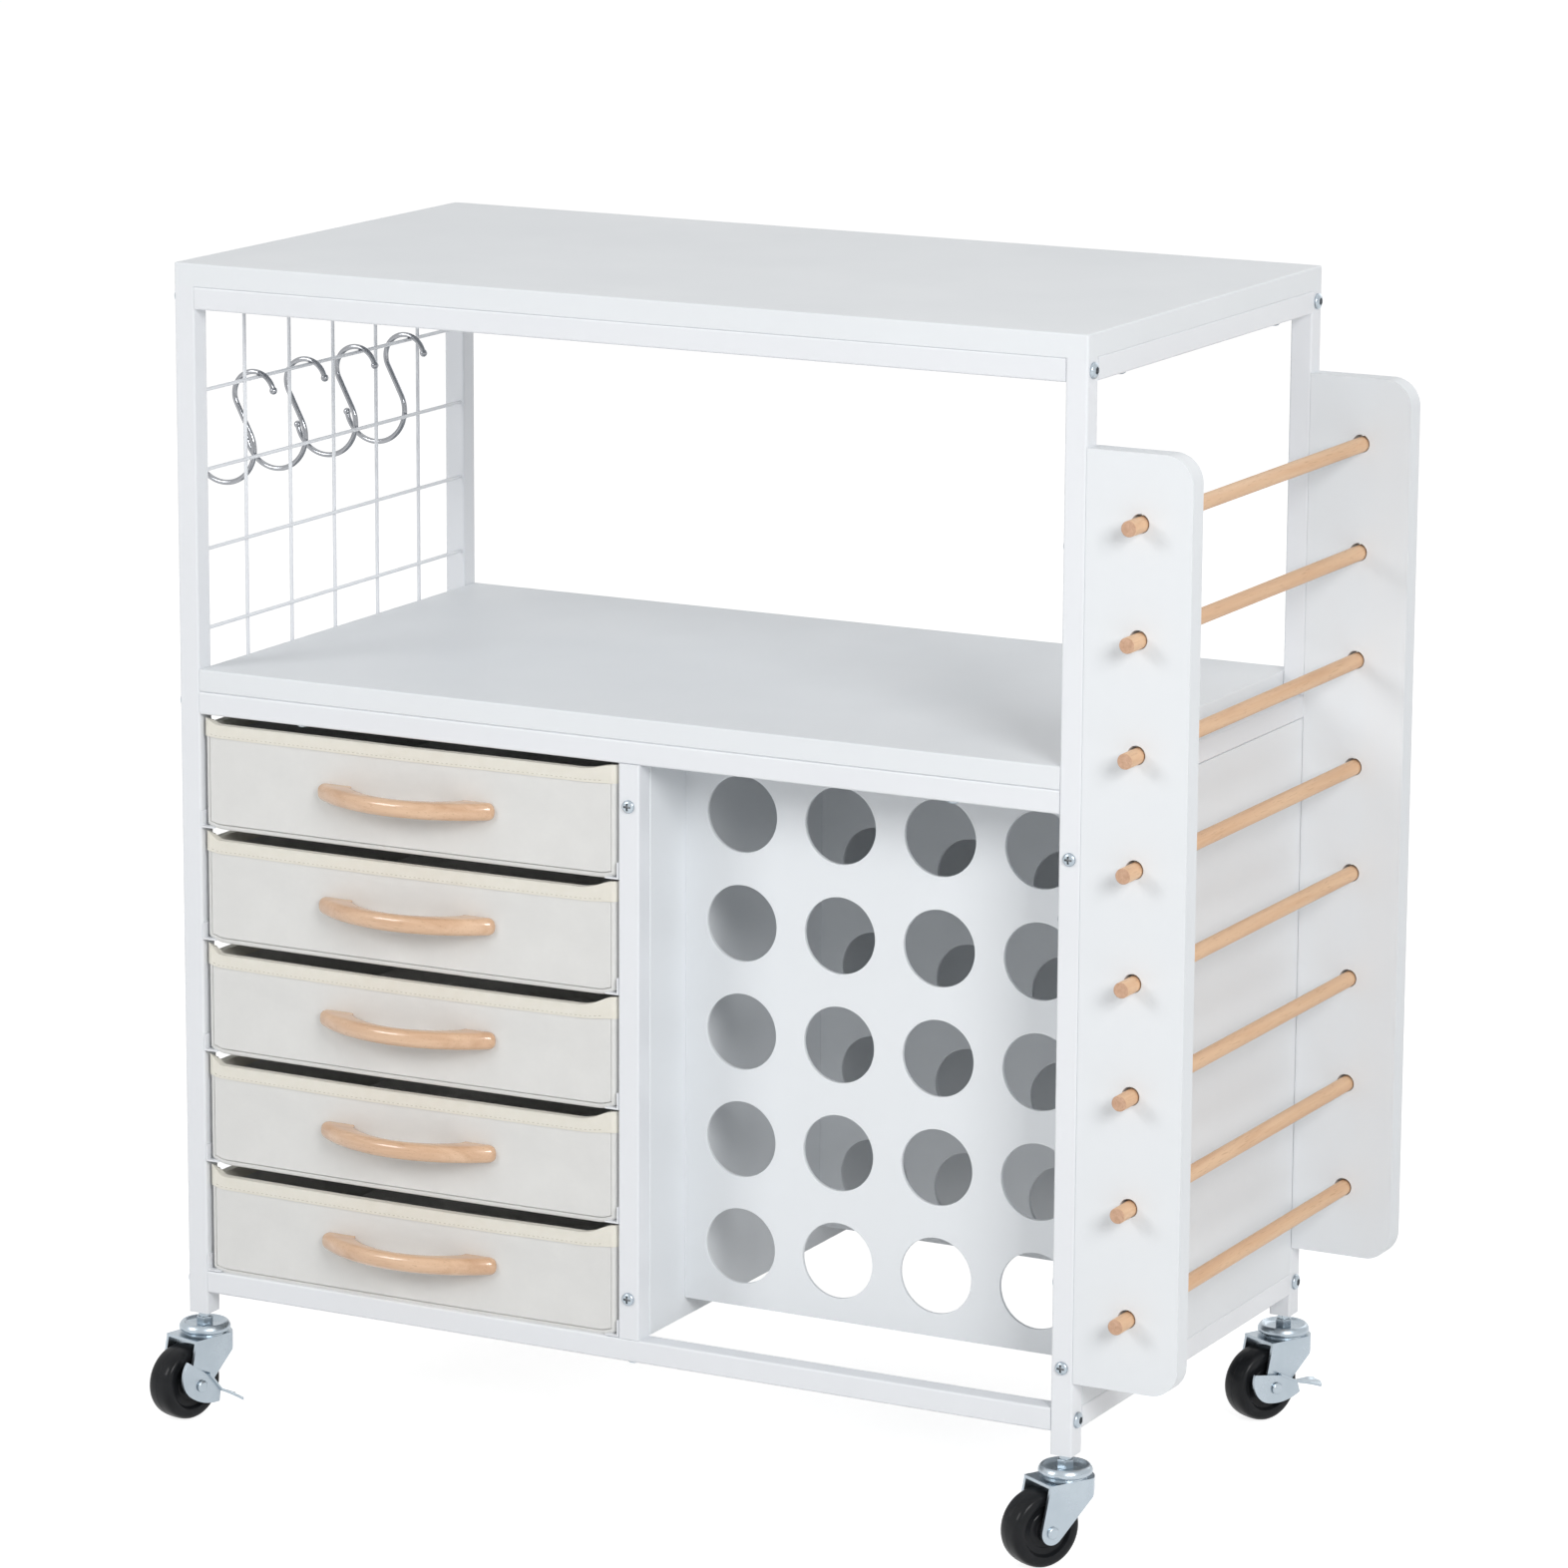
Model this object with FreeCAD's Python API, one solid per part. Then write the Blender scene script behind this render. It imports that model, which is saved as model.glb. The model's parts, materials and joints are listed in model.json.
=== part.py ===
import FreeCAD, Part
import math
import os

from FreeCAD import Vector

# Rolling craft cart: a square-tube frame on four casters, two boards, five fabric
# drawers, a bay of round holes for long rolls, dowels for spools and a wire side
# grid with hooks. Millimetres, +Z up, +X to the right and -Y towards the user.
# While building, x = 0 is the frame's left face, y = 0 its front face and z = 0
# the floor. The finished model is moved so that its box is centred over the origin.

# frame
FRAME_WIDTH = 650.0
FRAME_DEPTH = 356.0
TUBE = 15.0
TUBE_WALL = 1.2
TUBE_ROUND = 1.5
CASTER_HEIGHT = 70.0
POST_HEIGHT = 689.0
FOOT_BELOW_RAIL = 15.0
SHELF_RAIL_BOTTOM = 408.0

# boards
BOARD = 15.0
BOARD_ROUND = 1.2

# bay for rolls
ROLL_HOLE_R = 25.0
ROLL_COLUMNS = 4
ROLL_ROWS = 5
ROLL_PITCH_X = 70.3
ROLL_MARGIN_X = 40.8
ROLL_PITCH_Z = 71.4
ROLL_FIRST_ROW = 83.3
ROLL_BOARD_BOTTOM = 43.0
ROLL_BOARD_FRONT = 62.0
ROLL_BOARD_SHEET = 3.0
ROLL_BOARD_GAP = 190.0

# spool panels and dowels
DOWEL_PANEL_WIDTH = 70.5
DOWEL_PANEL_BOTTOM = 48.0
DOWEL_PANEL_HEIGHT = 587.4
DOWEL_PANEL_CORNER = 18.0
DOWEL_R = 5.0
DOWEL_HOLE_R = 6.0
DOWEL_REST_GAP = 0.3
DOWEL_COUNT = 8
DOWEL_END_LOW = 46.9
DOWEL_END_HIGH = 43.08
DOWEL_FROM_POST = 36.0
DOWEL_OVERHANG = 17.0
DOWEL_CHAMFER = 0.6

# drawers
DRAWER_COUNT = 5
DRAWER_PITCH = 75.5
DRAWER_FIRST = 30.5
DRAWER_HEIGHT = 70.0
DRAWER_SIDE_GAP = 1.2
DRAWER_FRONT = 2.0
DRAWER_BACK_GAP = 16.0
DRAWER_WALL = 4.0
DRAWER_CORNER = 4.0
BINDING_HEIGHT = 11.5
BINDING_PROUD = 0.5
SEAT_GAP = 0.3

# runners under the drawers
RUNNER_SHEET = 1.0
RUNNER_LIP = 9.8
RUNNER_HEIGHT = 11.0

# bow handles
HANDLE_SPAN = 131.0
HANDLE_REACH = 27.5
HANDLE_THICK = 10.4
HANDLE_HEIGHT = 11.6
HANDLE_FOOT = 24.0
HANDLE_END = 4.5
HANDLE_ROUND = 4.6
HANDLE_CORNER = 3.0
HANDLE_ABOVE_BOTTOM = 32.5

# side grid
WIRE_R = 1.25
GRID_FROM_LEFT = 12.0
GRID_TOP_WIRE = 619.5
GRID_ROWS = 4
GRID_ROW_PITCH = 52.3
GRID_COLUMNS = 5
GRID_COLUMN_PITCH = 55.0
WELD_DEPTH = 0.2

# hooks
HOOK_WIRE_R = 1.8
HOOK_TOP_R = 15.2
HOOK_LOW_R = 23.2
HOOK_LOW_SHIFT = 17.0
HOOK_LOW_DROP = 40.8
HOOK_TIP_R = 2.6
HOOK_TOP_START = 23.6
HOOK_LOW_END = 200.3
HOOK_COUNT = 4
HOOK_OFF_WIRE = 0.5
HOOK_FROM_COLUMN = 12.0
HOOK_DRIFT = 9.0
HOOK_GAP = 0.3
HOOK_LEAN_STEP = 0.1
HOOK_LEAN_MOST = 20.0

# fasteners; a head is a share of its radius, then of its height, from the rim inwards
HEAD_PROFILE = ((1.0, 0.45), (0.85, 0.8), (0.55, 1.0))
HEAD_RECESS = 0.6
BOLT_R = 3.0
BOLT_HEAD_R = 5.2
BOLT_HEAD_HEIGHT = 2.8
BOLT_SOCKET = 3.4
SCREW_R = 2.0
SCREW_HEAD_R = 4.25
SCREW_HEAD_HEIGHT = 2.4
SCREW_SLOT = 1.1
SCREW_SLOT_LENGTH = 4.25
SCREW_IN_BOARD = 30.0
SCREW_UP_INTO_BOARD = 10.0
HOLE_ROOM = 0.2
INSERT_LENGTH = 14.0
PANEL_SCREW_END = 27.0
TOP_SCREW_INSET = 61.0
SHELF_SCREW_INSET = 90.0
DOWEL_PANEL_SCREWS = 3
DOWEL_SCREW_END = 62.0
DOWEL_SCREW_IN = 22.0

# casters
WHEEL_R = 25.0
WHEEL_WIDTH = 19.5
WHEEL_ROUND = 3.0
WHEEL_RECESS_R = 18.5
WHEEL_RECESS = 2.6
HUB_R = 6.5
HUB_GAP = 0.4
TRAIL = 19.0
FORK_HALF_WIDTH = 14.7
FORK_SHEET = 2.0
FORK_NOSE_R = 18.5
FORK_TAIL = 21.0
FORK_LEG_R = 8.0
FORK_NOSE_DEPTH = 5.0
FORK_NOSE_BEND = 11.0
FORK_BOSS_R = 14.5
FORK_BOSS = 1.7
CAP_R = 17.2
CAP_DROP = 12.4
CAP_HEIGHT = 5.4
CAP_RIM_R = 15.0
CAP_DISH_R = 13.6
CAP_DISH = 2.4
CAP_EDGE = 2.4
CAP_GAP = 0.4
KING_PIN_R = 3.0
KING_HEAD_R = 5.5
KING_HEAD = 2.4
STEM_R = 4.0
STEM_LENGTH = 15.0
STEM_NUT = 10.0
STEM_NUT_HEIGHT = 6.0
AXLE_R = 2.5
AXLE_HEAD_R = 4.0
AXLE_HEAD = 2.0
RUNNING_GAP = 0.08
BRAKE_SHEET = 2.0
BRAKE_PEDAL_WIDTH = 13.0
BRAKE_GAP = 0.3
PEDAL_TIP_LENGTH = 4.2
PEDAL_TIP_BULGE = 0.45

# the brake lever seen from the side: along the trail and up, both from the axle
LEVER = {
    "corner": (11.5, 18.5),
    "belly": (16.0, 9.0),
    "heel": (9.0, -6.5),
    "foot": (-5.0, -13.0),
    "toe": (-16.0, -14.0),
    "bend": (-17.0, -7.0),
    "neck": (-6.0, 6.5),
    "tip": (-31.0, -13.5),
}

# each caster: name, is it at the right, is it at the rear, trail direction, has it a brake,
# and by how many degrees its pedal is lifted
CASTERS = (
    ("front_left", False, False, 255.0, True, 0.0),
    ("front_right", True, False, 240.0, False, 0.0),
    ("rear_left", False, True, 248.0, False, 0.0),
    ("rear_right", True, True, 243.0, True, 25.0),
)

X_AXIS = Vector(1, 0, 0)
Y_AXIS = Vector(0, 1, 0)
Z_AXIS = Vector(0, 0, 1)

# worked out from the sizes above
floorToPost = CASTER_HEIGHT
bottomRail = floorToPost + FOOT_BELOW_RAIL
bottomRailTop = bottomRail + TUBE
shelfRail = floorToPost + SHELF_RAIL_BOTTOM
shelfRailTop = shelfRail + TUBE
postTop = floorToPost + POST_HEIGHT
topRail = postTop - TUBE
rightPost = FRAME_WIDTH - TUBE
rearPost = FRAME_DEPTH - TUBE
rollBay = ROLL_PITCH_X * (ROLL_COLUMNS - 1) + 2 * ROLL_MARGIN_X
midPostRight = rightPost - rollBay
midPostLeft = midPostRight - TUBE
half = TUBE / 2
dowelX = FRAME_WIDTH + DOWEL_FROM_POST
frontAndRear = (half, FRAME_DEPTH - half)


def box(x0, x1, y0, y1, z0, z1):
    return Part.makeBox(x1 - x0, y1 - y0, z1 - z0, Vector(x0, y0, z0))


def rod(start, direction, length, radius):
    return Part.makeCylinder(radius, length, start, direction)


def alongAxis(edge, axis):
    run = edge.Vertexes[-1].Point - edge.Vertexes[0].Point
    return run.Length > 1e-6 and abs(abs(run.normalize().dot(axis)) - 1) < 1e-6


def roundAlong(shape, axis, radius):
    edges = [edge for edge in shape.Edges if alongAxis(edge, axis)]
    return shape.makeFillet(radius, edges)


def board(x0, x1, y0, y1, z0, z1, axis):
    # a board with its long edges eased
    return roundAlong(box(x0, x1, y0, y1, z0, z1), axis, BOARD_ROUND)


def tube(axis, start, end, low, side):
    # hollow square tube: low and side are its lowest corner across the run
    wall = TUBE_WALL
    if axis == X_AXIS:
        outer = box(start, end, low, low + TUBE, side, side + TUBE)
        bore = box(start, end, low + wall, low + TUBE - wall, side + wall, side + TUBE - wall)
    elif axis == Y_AXIS:
        outer = box(low, low + TUBE, start, end, side, side + TUBE)
        bore = box(low + wall, low + TUBE - wall, start, end, side + wall, side + TUBE - wall)
    else:
        outer = box(low, low + TUBE, side, side + TUBE, start, end)
        bore = box(low + wall, low + TUBE - wall, side + wall, side + TUBE - wall, start, end)
    return roundAlong(outer, axis, TUBE_ROUND).cut(bore)


def prism(points, axis, length):
    # closed outline, extruded
    wire = Part.makePolygon(points + [points[0]])
    return Part.Face(wire).extrude(axis * length)


def cutAll(shape, tools):
    return shape.cut(Part.makeCompound(tools)) if tools else shape


def joined(shapes):
    return shapes[0].multiFuse(shapes[1:]).removeSplitter()


def hexPrism(start, axis, acrossFlats, length):
    radius = acrossFlats / math.sqrt(3)
    points = []
    for step in range(6):
        angle = math.radians(60 * step)
        points.append(Vector(radius * math.cos(angle), radius * math.sin(angle), 0))
    solid = prism(points, Z_AXIS, length)
    solid.Placement = FreeCAD.Placement(start, FreeCAD.Rotation(Z_AXIS, axis))
    return solid


def headShape(start, axis, radius, height):
    # low domed head that stands on start and rises along axis
    outline = [Vector(0, 0, 0), Vector(radius, 0, 0)]
    for aside, up in HEAD_PROFILE:
        outline.append(Vector(radius * aside, 0, height * up))
    outline.append(Vector(0, 0, height))
    solid = Part.Face(Part.makePolygon(outline + [outline[0]])).revolve(Vector(0, 0, 0), Z_AXIS, 360)
    solid.Placement = FreeCAD.Placement(start, FreeCAD.Rotation(Z_AXIS, axis))
    return solid


def bolt(seat, axis, length):
    # seat is the point under the head, axis the way the shank goes
    head = headShape(seat, axis * -1, BOLT_HEAD_R, BOLT_HEAD_HEIGHT)
    socket = hexPrism(seat - axis * BOLT_HEAD_HEIGHT, axis, BOLT_SOCKET, BOLT_HEAD_HEIGHT * HEAD_RECESS)
    return head.fuse(rod(seat, axis, length, BOLT_R)).cut(socket).removeSplitter()


def crossRecess(seat, axis):
    depth = SCREW_HEAD_HEIGHT * HEAD_RECESS
    arm = SCREW_SLOT_LENGTH / 2
    bars = []
    for long, wide in ((arm, SCREW_SLOT / 2), (SCREW_SLOT / 2, arm)):
        bars.append(box(-long, long, -wide, wide, 0, depth))
    cross = bars[0].fuse(bars[1])
    cross.Placement = FreeCAD.Placement(seat - axis * SCREW_HEAD_HEIGHT, FreeCAD.Rotation(Z_AXIS, axis))
    return cross


def screw(seat, axis, length):
    head = headShape(seat, axis * -1, SCREW_HEAD_R, SCREW_HEAD_HEIGHT)
    shank = rod(seat, axis, length, SCREW_R)
    return head.fuse(shank).cut(crossRecess(seat, axis)).removeSplitter()


# every bolt: seat, direction; the rails' ends are bolted through the posts
boltLength = TUBE + INSERT_LENGTH
railLevels = (bottomRail + half, shelfRail + half, topRail + half)
boltSeats = []
for y in frontAndRear:
    for z in railLevels:
        boltSeats.append((Vector(0, y, z), X_AXIS))
        boltSeats.append((Vector(FRAME_WIDTH, y, z), X_AXIS * -1))

# screws: seat, direction, length
postX = (midPostLeft + half, FRAME_WIDTH - half)
panelLow = bottomRailTop + PANEL_SCREW_END
panelHigh = shelfRail - PANEL_SCREW_END - SEAT_GAP
panelScrews = []
for x in postX:
    for z in (panelLow, panelHigh):
        panelScrews.append((Vector(x, 0, z), Y_AXIS, TUBE + SCREW_IN_BOARD))
        panelScrews.append((Vector(x, FRAME_DEPTH, z), Y_AXIS * -1, TUBE + SCREW_IN_BOARD))
topScrews = []
for x in (half, FRAME_WIDTH - half):
    for y in (TOP_SCREW_INSET, FRAME_DEPTH - TOP_SCREW_INSET):
        topScrews.append((Vector(x, y, topRail), Z_AXIS, TUBE + SCREW_UP_INTO_BOARD))
shelfScrews = []
for x in (SHELF_SCREW_INSET, FRAME_WIDTH - SHELF_SCREW_INSET):
    for y in frontAndRear:
        shelfScrews.append((Vector(x, y, shelfRail), Z_AXIS, TUBE + SCREW_UP_INTO_BOARD))
midPostScrews = []
for y in frontAndRear:
    low = Vector(midPostLeft + half, y, bottomRail)
    high = Vector(midPostLeft + half, y, shelfRailTop)
    midPostScrews.append((low, Z_AXIS, TUBE + SCREW_UP_INTO_BOARD))
    midPostScrews.append((high, Z_AXIS * -1, TUBE + SCREW_UP_INTO_BOARD))
dowelPanelLow = floorToPost + DOWEL_PANEL_BOTTOM
dowelPanelTop = dowelPanelLow + DOWEL_PANEL_HEIGHT
dowelPitch = (DOWEL_PANEL_HEIGHT - DOWEL_END_LOW - DOWEL_END_HIGH) / (DOWEL_COUNT - 1)
dowelScrews = []
dowelScrewStep = (DOWEL_PANEL_HEIGHT - 2 * DOWEL_SCREW_END) / (DOWEL_PANEL_SCREWS - 1)
for y in frontAndRear:
    for step in range(DOWEL_PANEL_SCREWS):
        z = dowelPanelLow + DOWEL_SCREW_END + step * dowelScrewStep
        dowelScrews.append((Vector(rightPost, y, z), X_AXIS, TUBE + DOWEL_SCREW_IN))
allScrews = panelScrews + topScrews + shelfScrews + midPostScrews + dowelScrews


def boltHoles():
    return [rod(seat, axis, TUBE, BOLT_R + HOLE_ROOM) for seat, axis in boltSeats]


def screwHoles(screws):
    return [rod(seat, axis, TUBE, SCREW_R + HOLE_ROOM) for seat, axis, length in screws]


def pilotHoles(screws):
    return [rod(seat, axis, length, SCREW_R) for seat, axis, length in screws]


def headPockets(screws):
    # room for screw heads in the board that lies over them
    depth = SCREW_HEAD_HEIGHT + HOLE_ROOM
    radius = SCREW_HEAD_R + HOLE_ROOM
    return [rod(seat, axis * -1, depth, radius) for seat, axis, length in screws]


def sideFrame(left):
    # two posts with three welded rails between them
    bars = [
        tube(Z_AXIS, floorToPost, postTop, left, 0),
        tube(Z_AXIS, floorToPost, postTop, left, rearPost),
    ]
    for z in (bottomRail, shelfRail, topRail):
        bars.append(tube(Y_AXIS, TUBE, rearPost, left, z))
    welded = joined(bars)
    holes = boltHoles() + screwHoles(panelScrews + topScrews + dowelScrews)
    return cutAll(welded, holes)


def longRail(y, z):
    rail = tube(X_AXIS, TUBE, rightPost, y, z)
    return cutAll(rail, screwHoles(shelfScrews + midPostScrews))


def middlePost(y):
    post = tube(Z_AXIS, bottomRailTop, shelfRail, midPostLeft, y)
    return cutAll(post, screwHoles(panelScrews))


def tubeInserts():
    # threaded blocks inside the rail ends, the middle posts' ends and the posts' feet
    blocks = []
    wall = TUBE_WALL
    for y in (0, rearPost):
        for z in (bottomRail, shelfRail, topRail):
            for x in (TUBE, rightPost - INSERT_LENGTH):
                block = box(x, x + INSERT_LENGTH, y + wall, y + TUBE - wall, z + wall, z + TUBE - wall)
                bore = rod(Vector(x, y + half, z + half), X_AXIS, INSERT_LENGTH, BOLT_R)
                blocks.append(block.cut(bore))
        for z in (bottomRailTop, shelfRail - INSERT_LENGTH):
            x = midPostLeft
            block = box(x + wall, x + TUBE - wall, y + wall, y + TUBE - wall, z, z + INSERT_LENGTH)
            blocks.append(cutAll(block, pilotHoles(midPostScrews)))
        for x in (0, rightPost):
            z = floorToPost
            block = box(x + wall, x + TUBE - wall, y + wall, y + TUBE - wall, z, z + STEM_LENGTH)
            bore = rod(Vector(x + half, y + half, z), Z_AXIS, STEM_LENGTH, STEM_R)
            blocks.append(block.cut(bore))
    return Part.makeCompound(blocks)


def frameBolts():
    return Part.makeCompound([bolt(seat, axis, boltLength) for seat, axis in boltSeats])


def panelScrewSet():
    return Part.makeCompound([screw(seat, axis, length) for seat, axis, length in allScrews])


def topBoard():
    slab = box(0, FRAME_WIDTH, 0, FRAME_DEPTH, postTop, postTop + BOARD)
    slab = roundAlong(slab, Z_AXIS, TUBE_ROUND)
    rim = [edge for edge in slab.Edges if edge.BoundBox.ZMin > postTop + BOARD - 1e-3]
    return cutAll(slab.makeFillet(BOARD_ROUND, rim), pilotHoles(topScrews))


def shelfBoard():
    slab = board(TUBE, rightPost, 0, FRAME_DEPTH, shelfRailTop, shelfRailTop + BOARD, X_AXIS)
    return cutAll(slab, pilotHoles(shelfScrews) + headPockets(midPostScrews))


def uprightPanel(left, top):
    # board that stands between a front and a rear post
    slab = board(left, left + BOARD, TUBE, rearPost, bottomRailTop, top, Z_AXIS)
    return cutAll(slab, pilotHoles(panelScrews))


def rollBoard(y):
    # thin board with rows of round holes
    low = floorToPost + ROLL_BOARD_BOTTOM
    sheet = ROLL_BOARD_SHEET
    slab = box(midPostRight, rightPost, y, y + sheet, low, shelfRailTop)
    middle = (midPostRight + rightPost) / 2
    firstX = middle - ROLL_PITCH_X * (ROLL_COLUMNS - 1) / 2
    holes = []
    for column in range(ROLL_COLUMNS):
        for row in range(ROLL_ROWS):
            x = firstX + column * ROLL_PITCH_X
            z = floorToPost + ROLL_FIRST_ROW + row * ROLL_PITCH_Z
            holes.append(rod(Vector(x, y, z), Y_AXIS, sheet, ROLL_HOLE_R))
    return cutAll(slab, holes)


def backPanel():
    slab = board(midPostRight, rightPost, rearPost, FRAME_DEPTH, bottomRailTop, shelfRail, X_AXIS)
    return cutAll(slab, headPockets(shelfScrews + dowelScrews))


def dowelPanel(y):
    slab = box(FRAME_WIDTH, FRAME_WIDTH + DOWEL_PANEL_WIDTH, y, y + BOARD, dowelPanelLow, dowelPanelTop)
    outer = []
    for edge in slab.Edges:
        if alongAxis(edge, Y_AXIS) and edge.BoundBox.XMin > FRAME_WIDTH + 1:
            outer.append(edge)
    slab = slab.makeFillet(DOWEL_PANEL_CORNER, outer)
    holes = []
    for step in range(DOWEL_COUNT):
        z = dowelPanelLow + DOWEL_END_LOW + step * dowelPitch
        holes.append(rod(Vector(dowelX, y, z), Y_AXIS, BOARD, DOWEL_HOLE_R))
    # shallow pocket over the bolt head that the panel's edge covers
    pocket = rod(
        Vector(FRAME_WIDTH, y + half, shelfRail + half),
        X_AXIS,
        BOLT_HEAD_HEIGHT + HOLE_ROOM,
        BOLT_HEAD_R + HOLE_ROOM,
    )
    return cutAll(slab, holes + [pocket] + pilotHoles(dowelScrews))


def dowel(step):
    # the rod lies on the bottom of its two holes
    drop = DOWEL_HOLE_R - DOWEL_R - DOWEL_REST_GAP
    z = dowelPanelLow + DOWEL_END_LOW + step * dowelPitch - drop
    length = FRAME_DEPTH + 2 * DOWEL_OVERHANG
    peg = rod(Vector(dowelX, -DOWEL_OVERHANG, z), Y_AXIS, length, DOWEL_R)
    ends = [edge for edge in peg.Edges if isinstance(edge.Curve, Part.Circle)]
    return peg.makeChamfer(DOWEL_CHAMFER, ends)


firstColumn = FRAME_DEPTH / 2 - GRID_COLUMN_PITCH * (GRID_COLUMNS - 1) / 2


def wireGrid():
    wires = []
    for row in range(GRID_ROWS):
        z = floorToPost + GRID_TOP_WIRE - row * GRID_ROW_PITCH
        wires.append(rod(Vector(GRID_FROM_LEFT, TUBE, z), Y_AXIS, rearPost - TUBE, WIRE_R))
    x = GRID_FROM_LEFT - 2 * WIRE_R + WELD_DEPTH
    for column in range(GRID_COLUMNS):
        y = firstColumn + column * GRID_COLUMN_PITCH
        wires.append(rod(Vector(x, y, shelfRailTop), Z_AXIS, topRail - shelfRailTop, WIRE_R))
    return joined(wires)


bayLeft = TUBE
bayRight = midPostLeft


def drawerBottom(step):
    return floorToPost + DRAWER_FIRST + step * DRAWER_PITCH + (SEAT_GAP + RUNNER_SHEET)


def drawerRunners():
    # thin angle strips: one flange on the upright, one lip under the drawer
    strips = []
    sheet = RUNNER_SHEET
    for step in range(DRAWER_COUNT):
        z = drawerBottom(step) - SEAT_GAP - sheet
        for x0, x1, wallX in (
            (bayLeft, bayLeft + RUNNER_LIP, bayLeft),
            (bayRight - RUNNER_LIP, bayRight, bayRight - sheet),
        ):
            lip = box(x0, x1, 0, FRAME_DEPTH, z, z + sheet)
            flange = box(wallX, wallX + sheet, 0, FRAME_DEPTH, z, z + RUNNER_HEIGHT)
            strips.append(lip.fuse(flange).removeSplitter())
    return Part.makeCompound(strips)


drawerLeft = bayLeft + RUNNER_SHEET + DRAWER_SIDE_GAP + BINDING_PROUD
drawerRight = bayRight - RUNNER_SHEET - DRAWER_SIDE_GAP - BINDING_PROUD
drawerBack = FRAME_DEPTH - DRAWER_BACK_GAP
drawerMiddle = (drawerLeft + drawerRight) / 2


def drawer(step):
    # fabric box, open at the top, with a bound rim
    low = drawerBottom(step)
    high = low + DRAWER_HEIGHT
    wall = DRAWER_WALL
    proud = BINDING_PROUD
    body = box(drawerLeft, drawerRight, DRAWER_FRONT, drawerBack, low, high)
    body = roundAlong(body, Z_AXIS, DRAWER_CORNER)
    band = box(
        drawerLeft - proud,
        drawerRight + proud,
        DRAWER_FRONT - proud,
        drawerBack + proud,
        high - BINDING_HEIGHT,
        high,
    )
    band = roundAlong(band, Z_AXIS, DRAWER_CORNER + proud)
    hollow = box(
        drawerLeft + wall,
        drawerRight - wall,
        DRAWER_FRONT + wall,
        drawerBack - wall,
        low + wall,
        high,
    )
    hollow = roundAlong(hollow, Z_AXIS, DRAWER_CORNER - wall / 2)
    return body.fuse(band).cut(hollow).removeSplitter()


def handle(step):
    # bow handle: two flat feet on the drawer's front and a bridge between them
    z = drawerBottom(step) + HANDLE_ABOVE_BOTTOM - HANDLE_HEIGHT / 2
    end = HANDLE_SPAN / 2
    inner = end - HANDLE_FOOT
    behind = HANDLE_END

    def onPlan(x, y):
        return Vector(drawerMiddle + x, DRAWER_FRONT + y, z)

    bow = Part.Arc(onPlan(-end, -HANDLE_END), onPlan(0, -HANDLE_REACH), onPlan(end, -HANDLE_END))
    bridge = Part.Arc(onPlan(inner, 0), onPlan(0, HANDLE_THICK - HANDLE_REACH), onPlan(-inner, 0))
    around = [
        onPlan(end, -HANDLE_END),
        onPlan(end, behind),
        onPlan(inner, behind),
        onPlan(inner, 0),
    ]
    back = [
        onPlan(-inner, 0),
        onPlan(-inner, behind),
        onPlan(-end, behind),
        onPlan(-end, -HANDLE_END),
    ]
    sides = [bow.toShape(), bridge.toShape()]
    for points in (around, back):
        for first, last in zip(points, points[1:]):
            sides.append(Part.LineSegment(first, last).toShape())
    outline = Part.Wire(Part.__sortEdges__(sides))
    blank = Part.Face(outline).extrude(Z_AXIS * HANDLE_HEIGHT)
    corners = []
    for edge in blank.Edges:
        atEnd = abs(edge.BoundBox.YMin - (DRAWER_FRONT - HANDLE_END)) < 1e-3
        if alongAxis(edge, Z_AXIS) and atEnd:
            corners.append(edge)
    blank = blank.makeFillet(HANDLE_CORNER, corners)
    # the round runs over all faces that stand in front of the drawer
    long = []
    for edge in blank.Edges:
        level = edge.BoundBox.ZLength < 1e-3
        if level and edge.BoundBox.YMin < DRAWER_FRONT - 1e-3:
            long.append(edge)
    blank = blank.makeFillet(HANDLE_ROUND, long)
    behindFront = box(
        drawerMiddle - HANDLE_SPAN,
        drawerMiddle + HANDLE_SPAN,
        DRAWER_FRONT,
        DRAWER_FRONT + HANDLE_SPAN,
        z - HANDLE_HEIGHT,
        z + 2 * HANDLE_HEIGHT,
    )
    return blank.cut(behindFront)


# the hook's two bends, seen from the wire that it hangs on
hookTop = Vector(-HOOK_OFF_WIRE, 0, -(HOOK_TOP_R - HOOK_WIRE_R - WIRE_R))
hookLow = hookTop + Vector(-HOOK_LOW_SHIFT, 0, -HOOK_LOW_DROP)


def hookTurn():
    # how far the hook leans so that it rests on the second wire from outside
    outer = HOOK_LOW_R + HOOK_WIRE_R
    angle = 0.0
    while angle < HOOK_LEAN_MOST:
        centre = FreeCAD.Rotation(Y_AXIS, angle).multVec(hookLow)
        reach = math.sqrt(max(outer ** 2 - (centre.z + GRID_ROW_PITCH) ** 2, 0))
        if centre.x + reach <= -(WIRE_R + HOOK_GAP):
            break
        angle += HOOK_LEAN_STEP
    return angle


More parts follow.
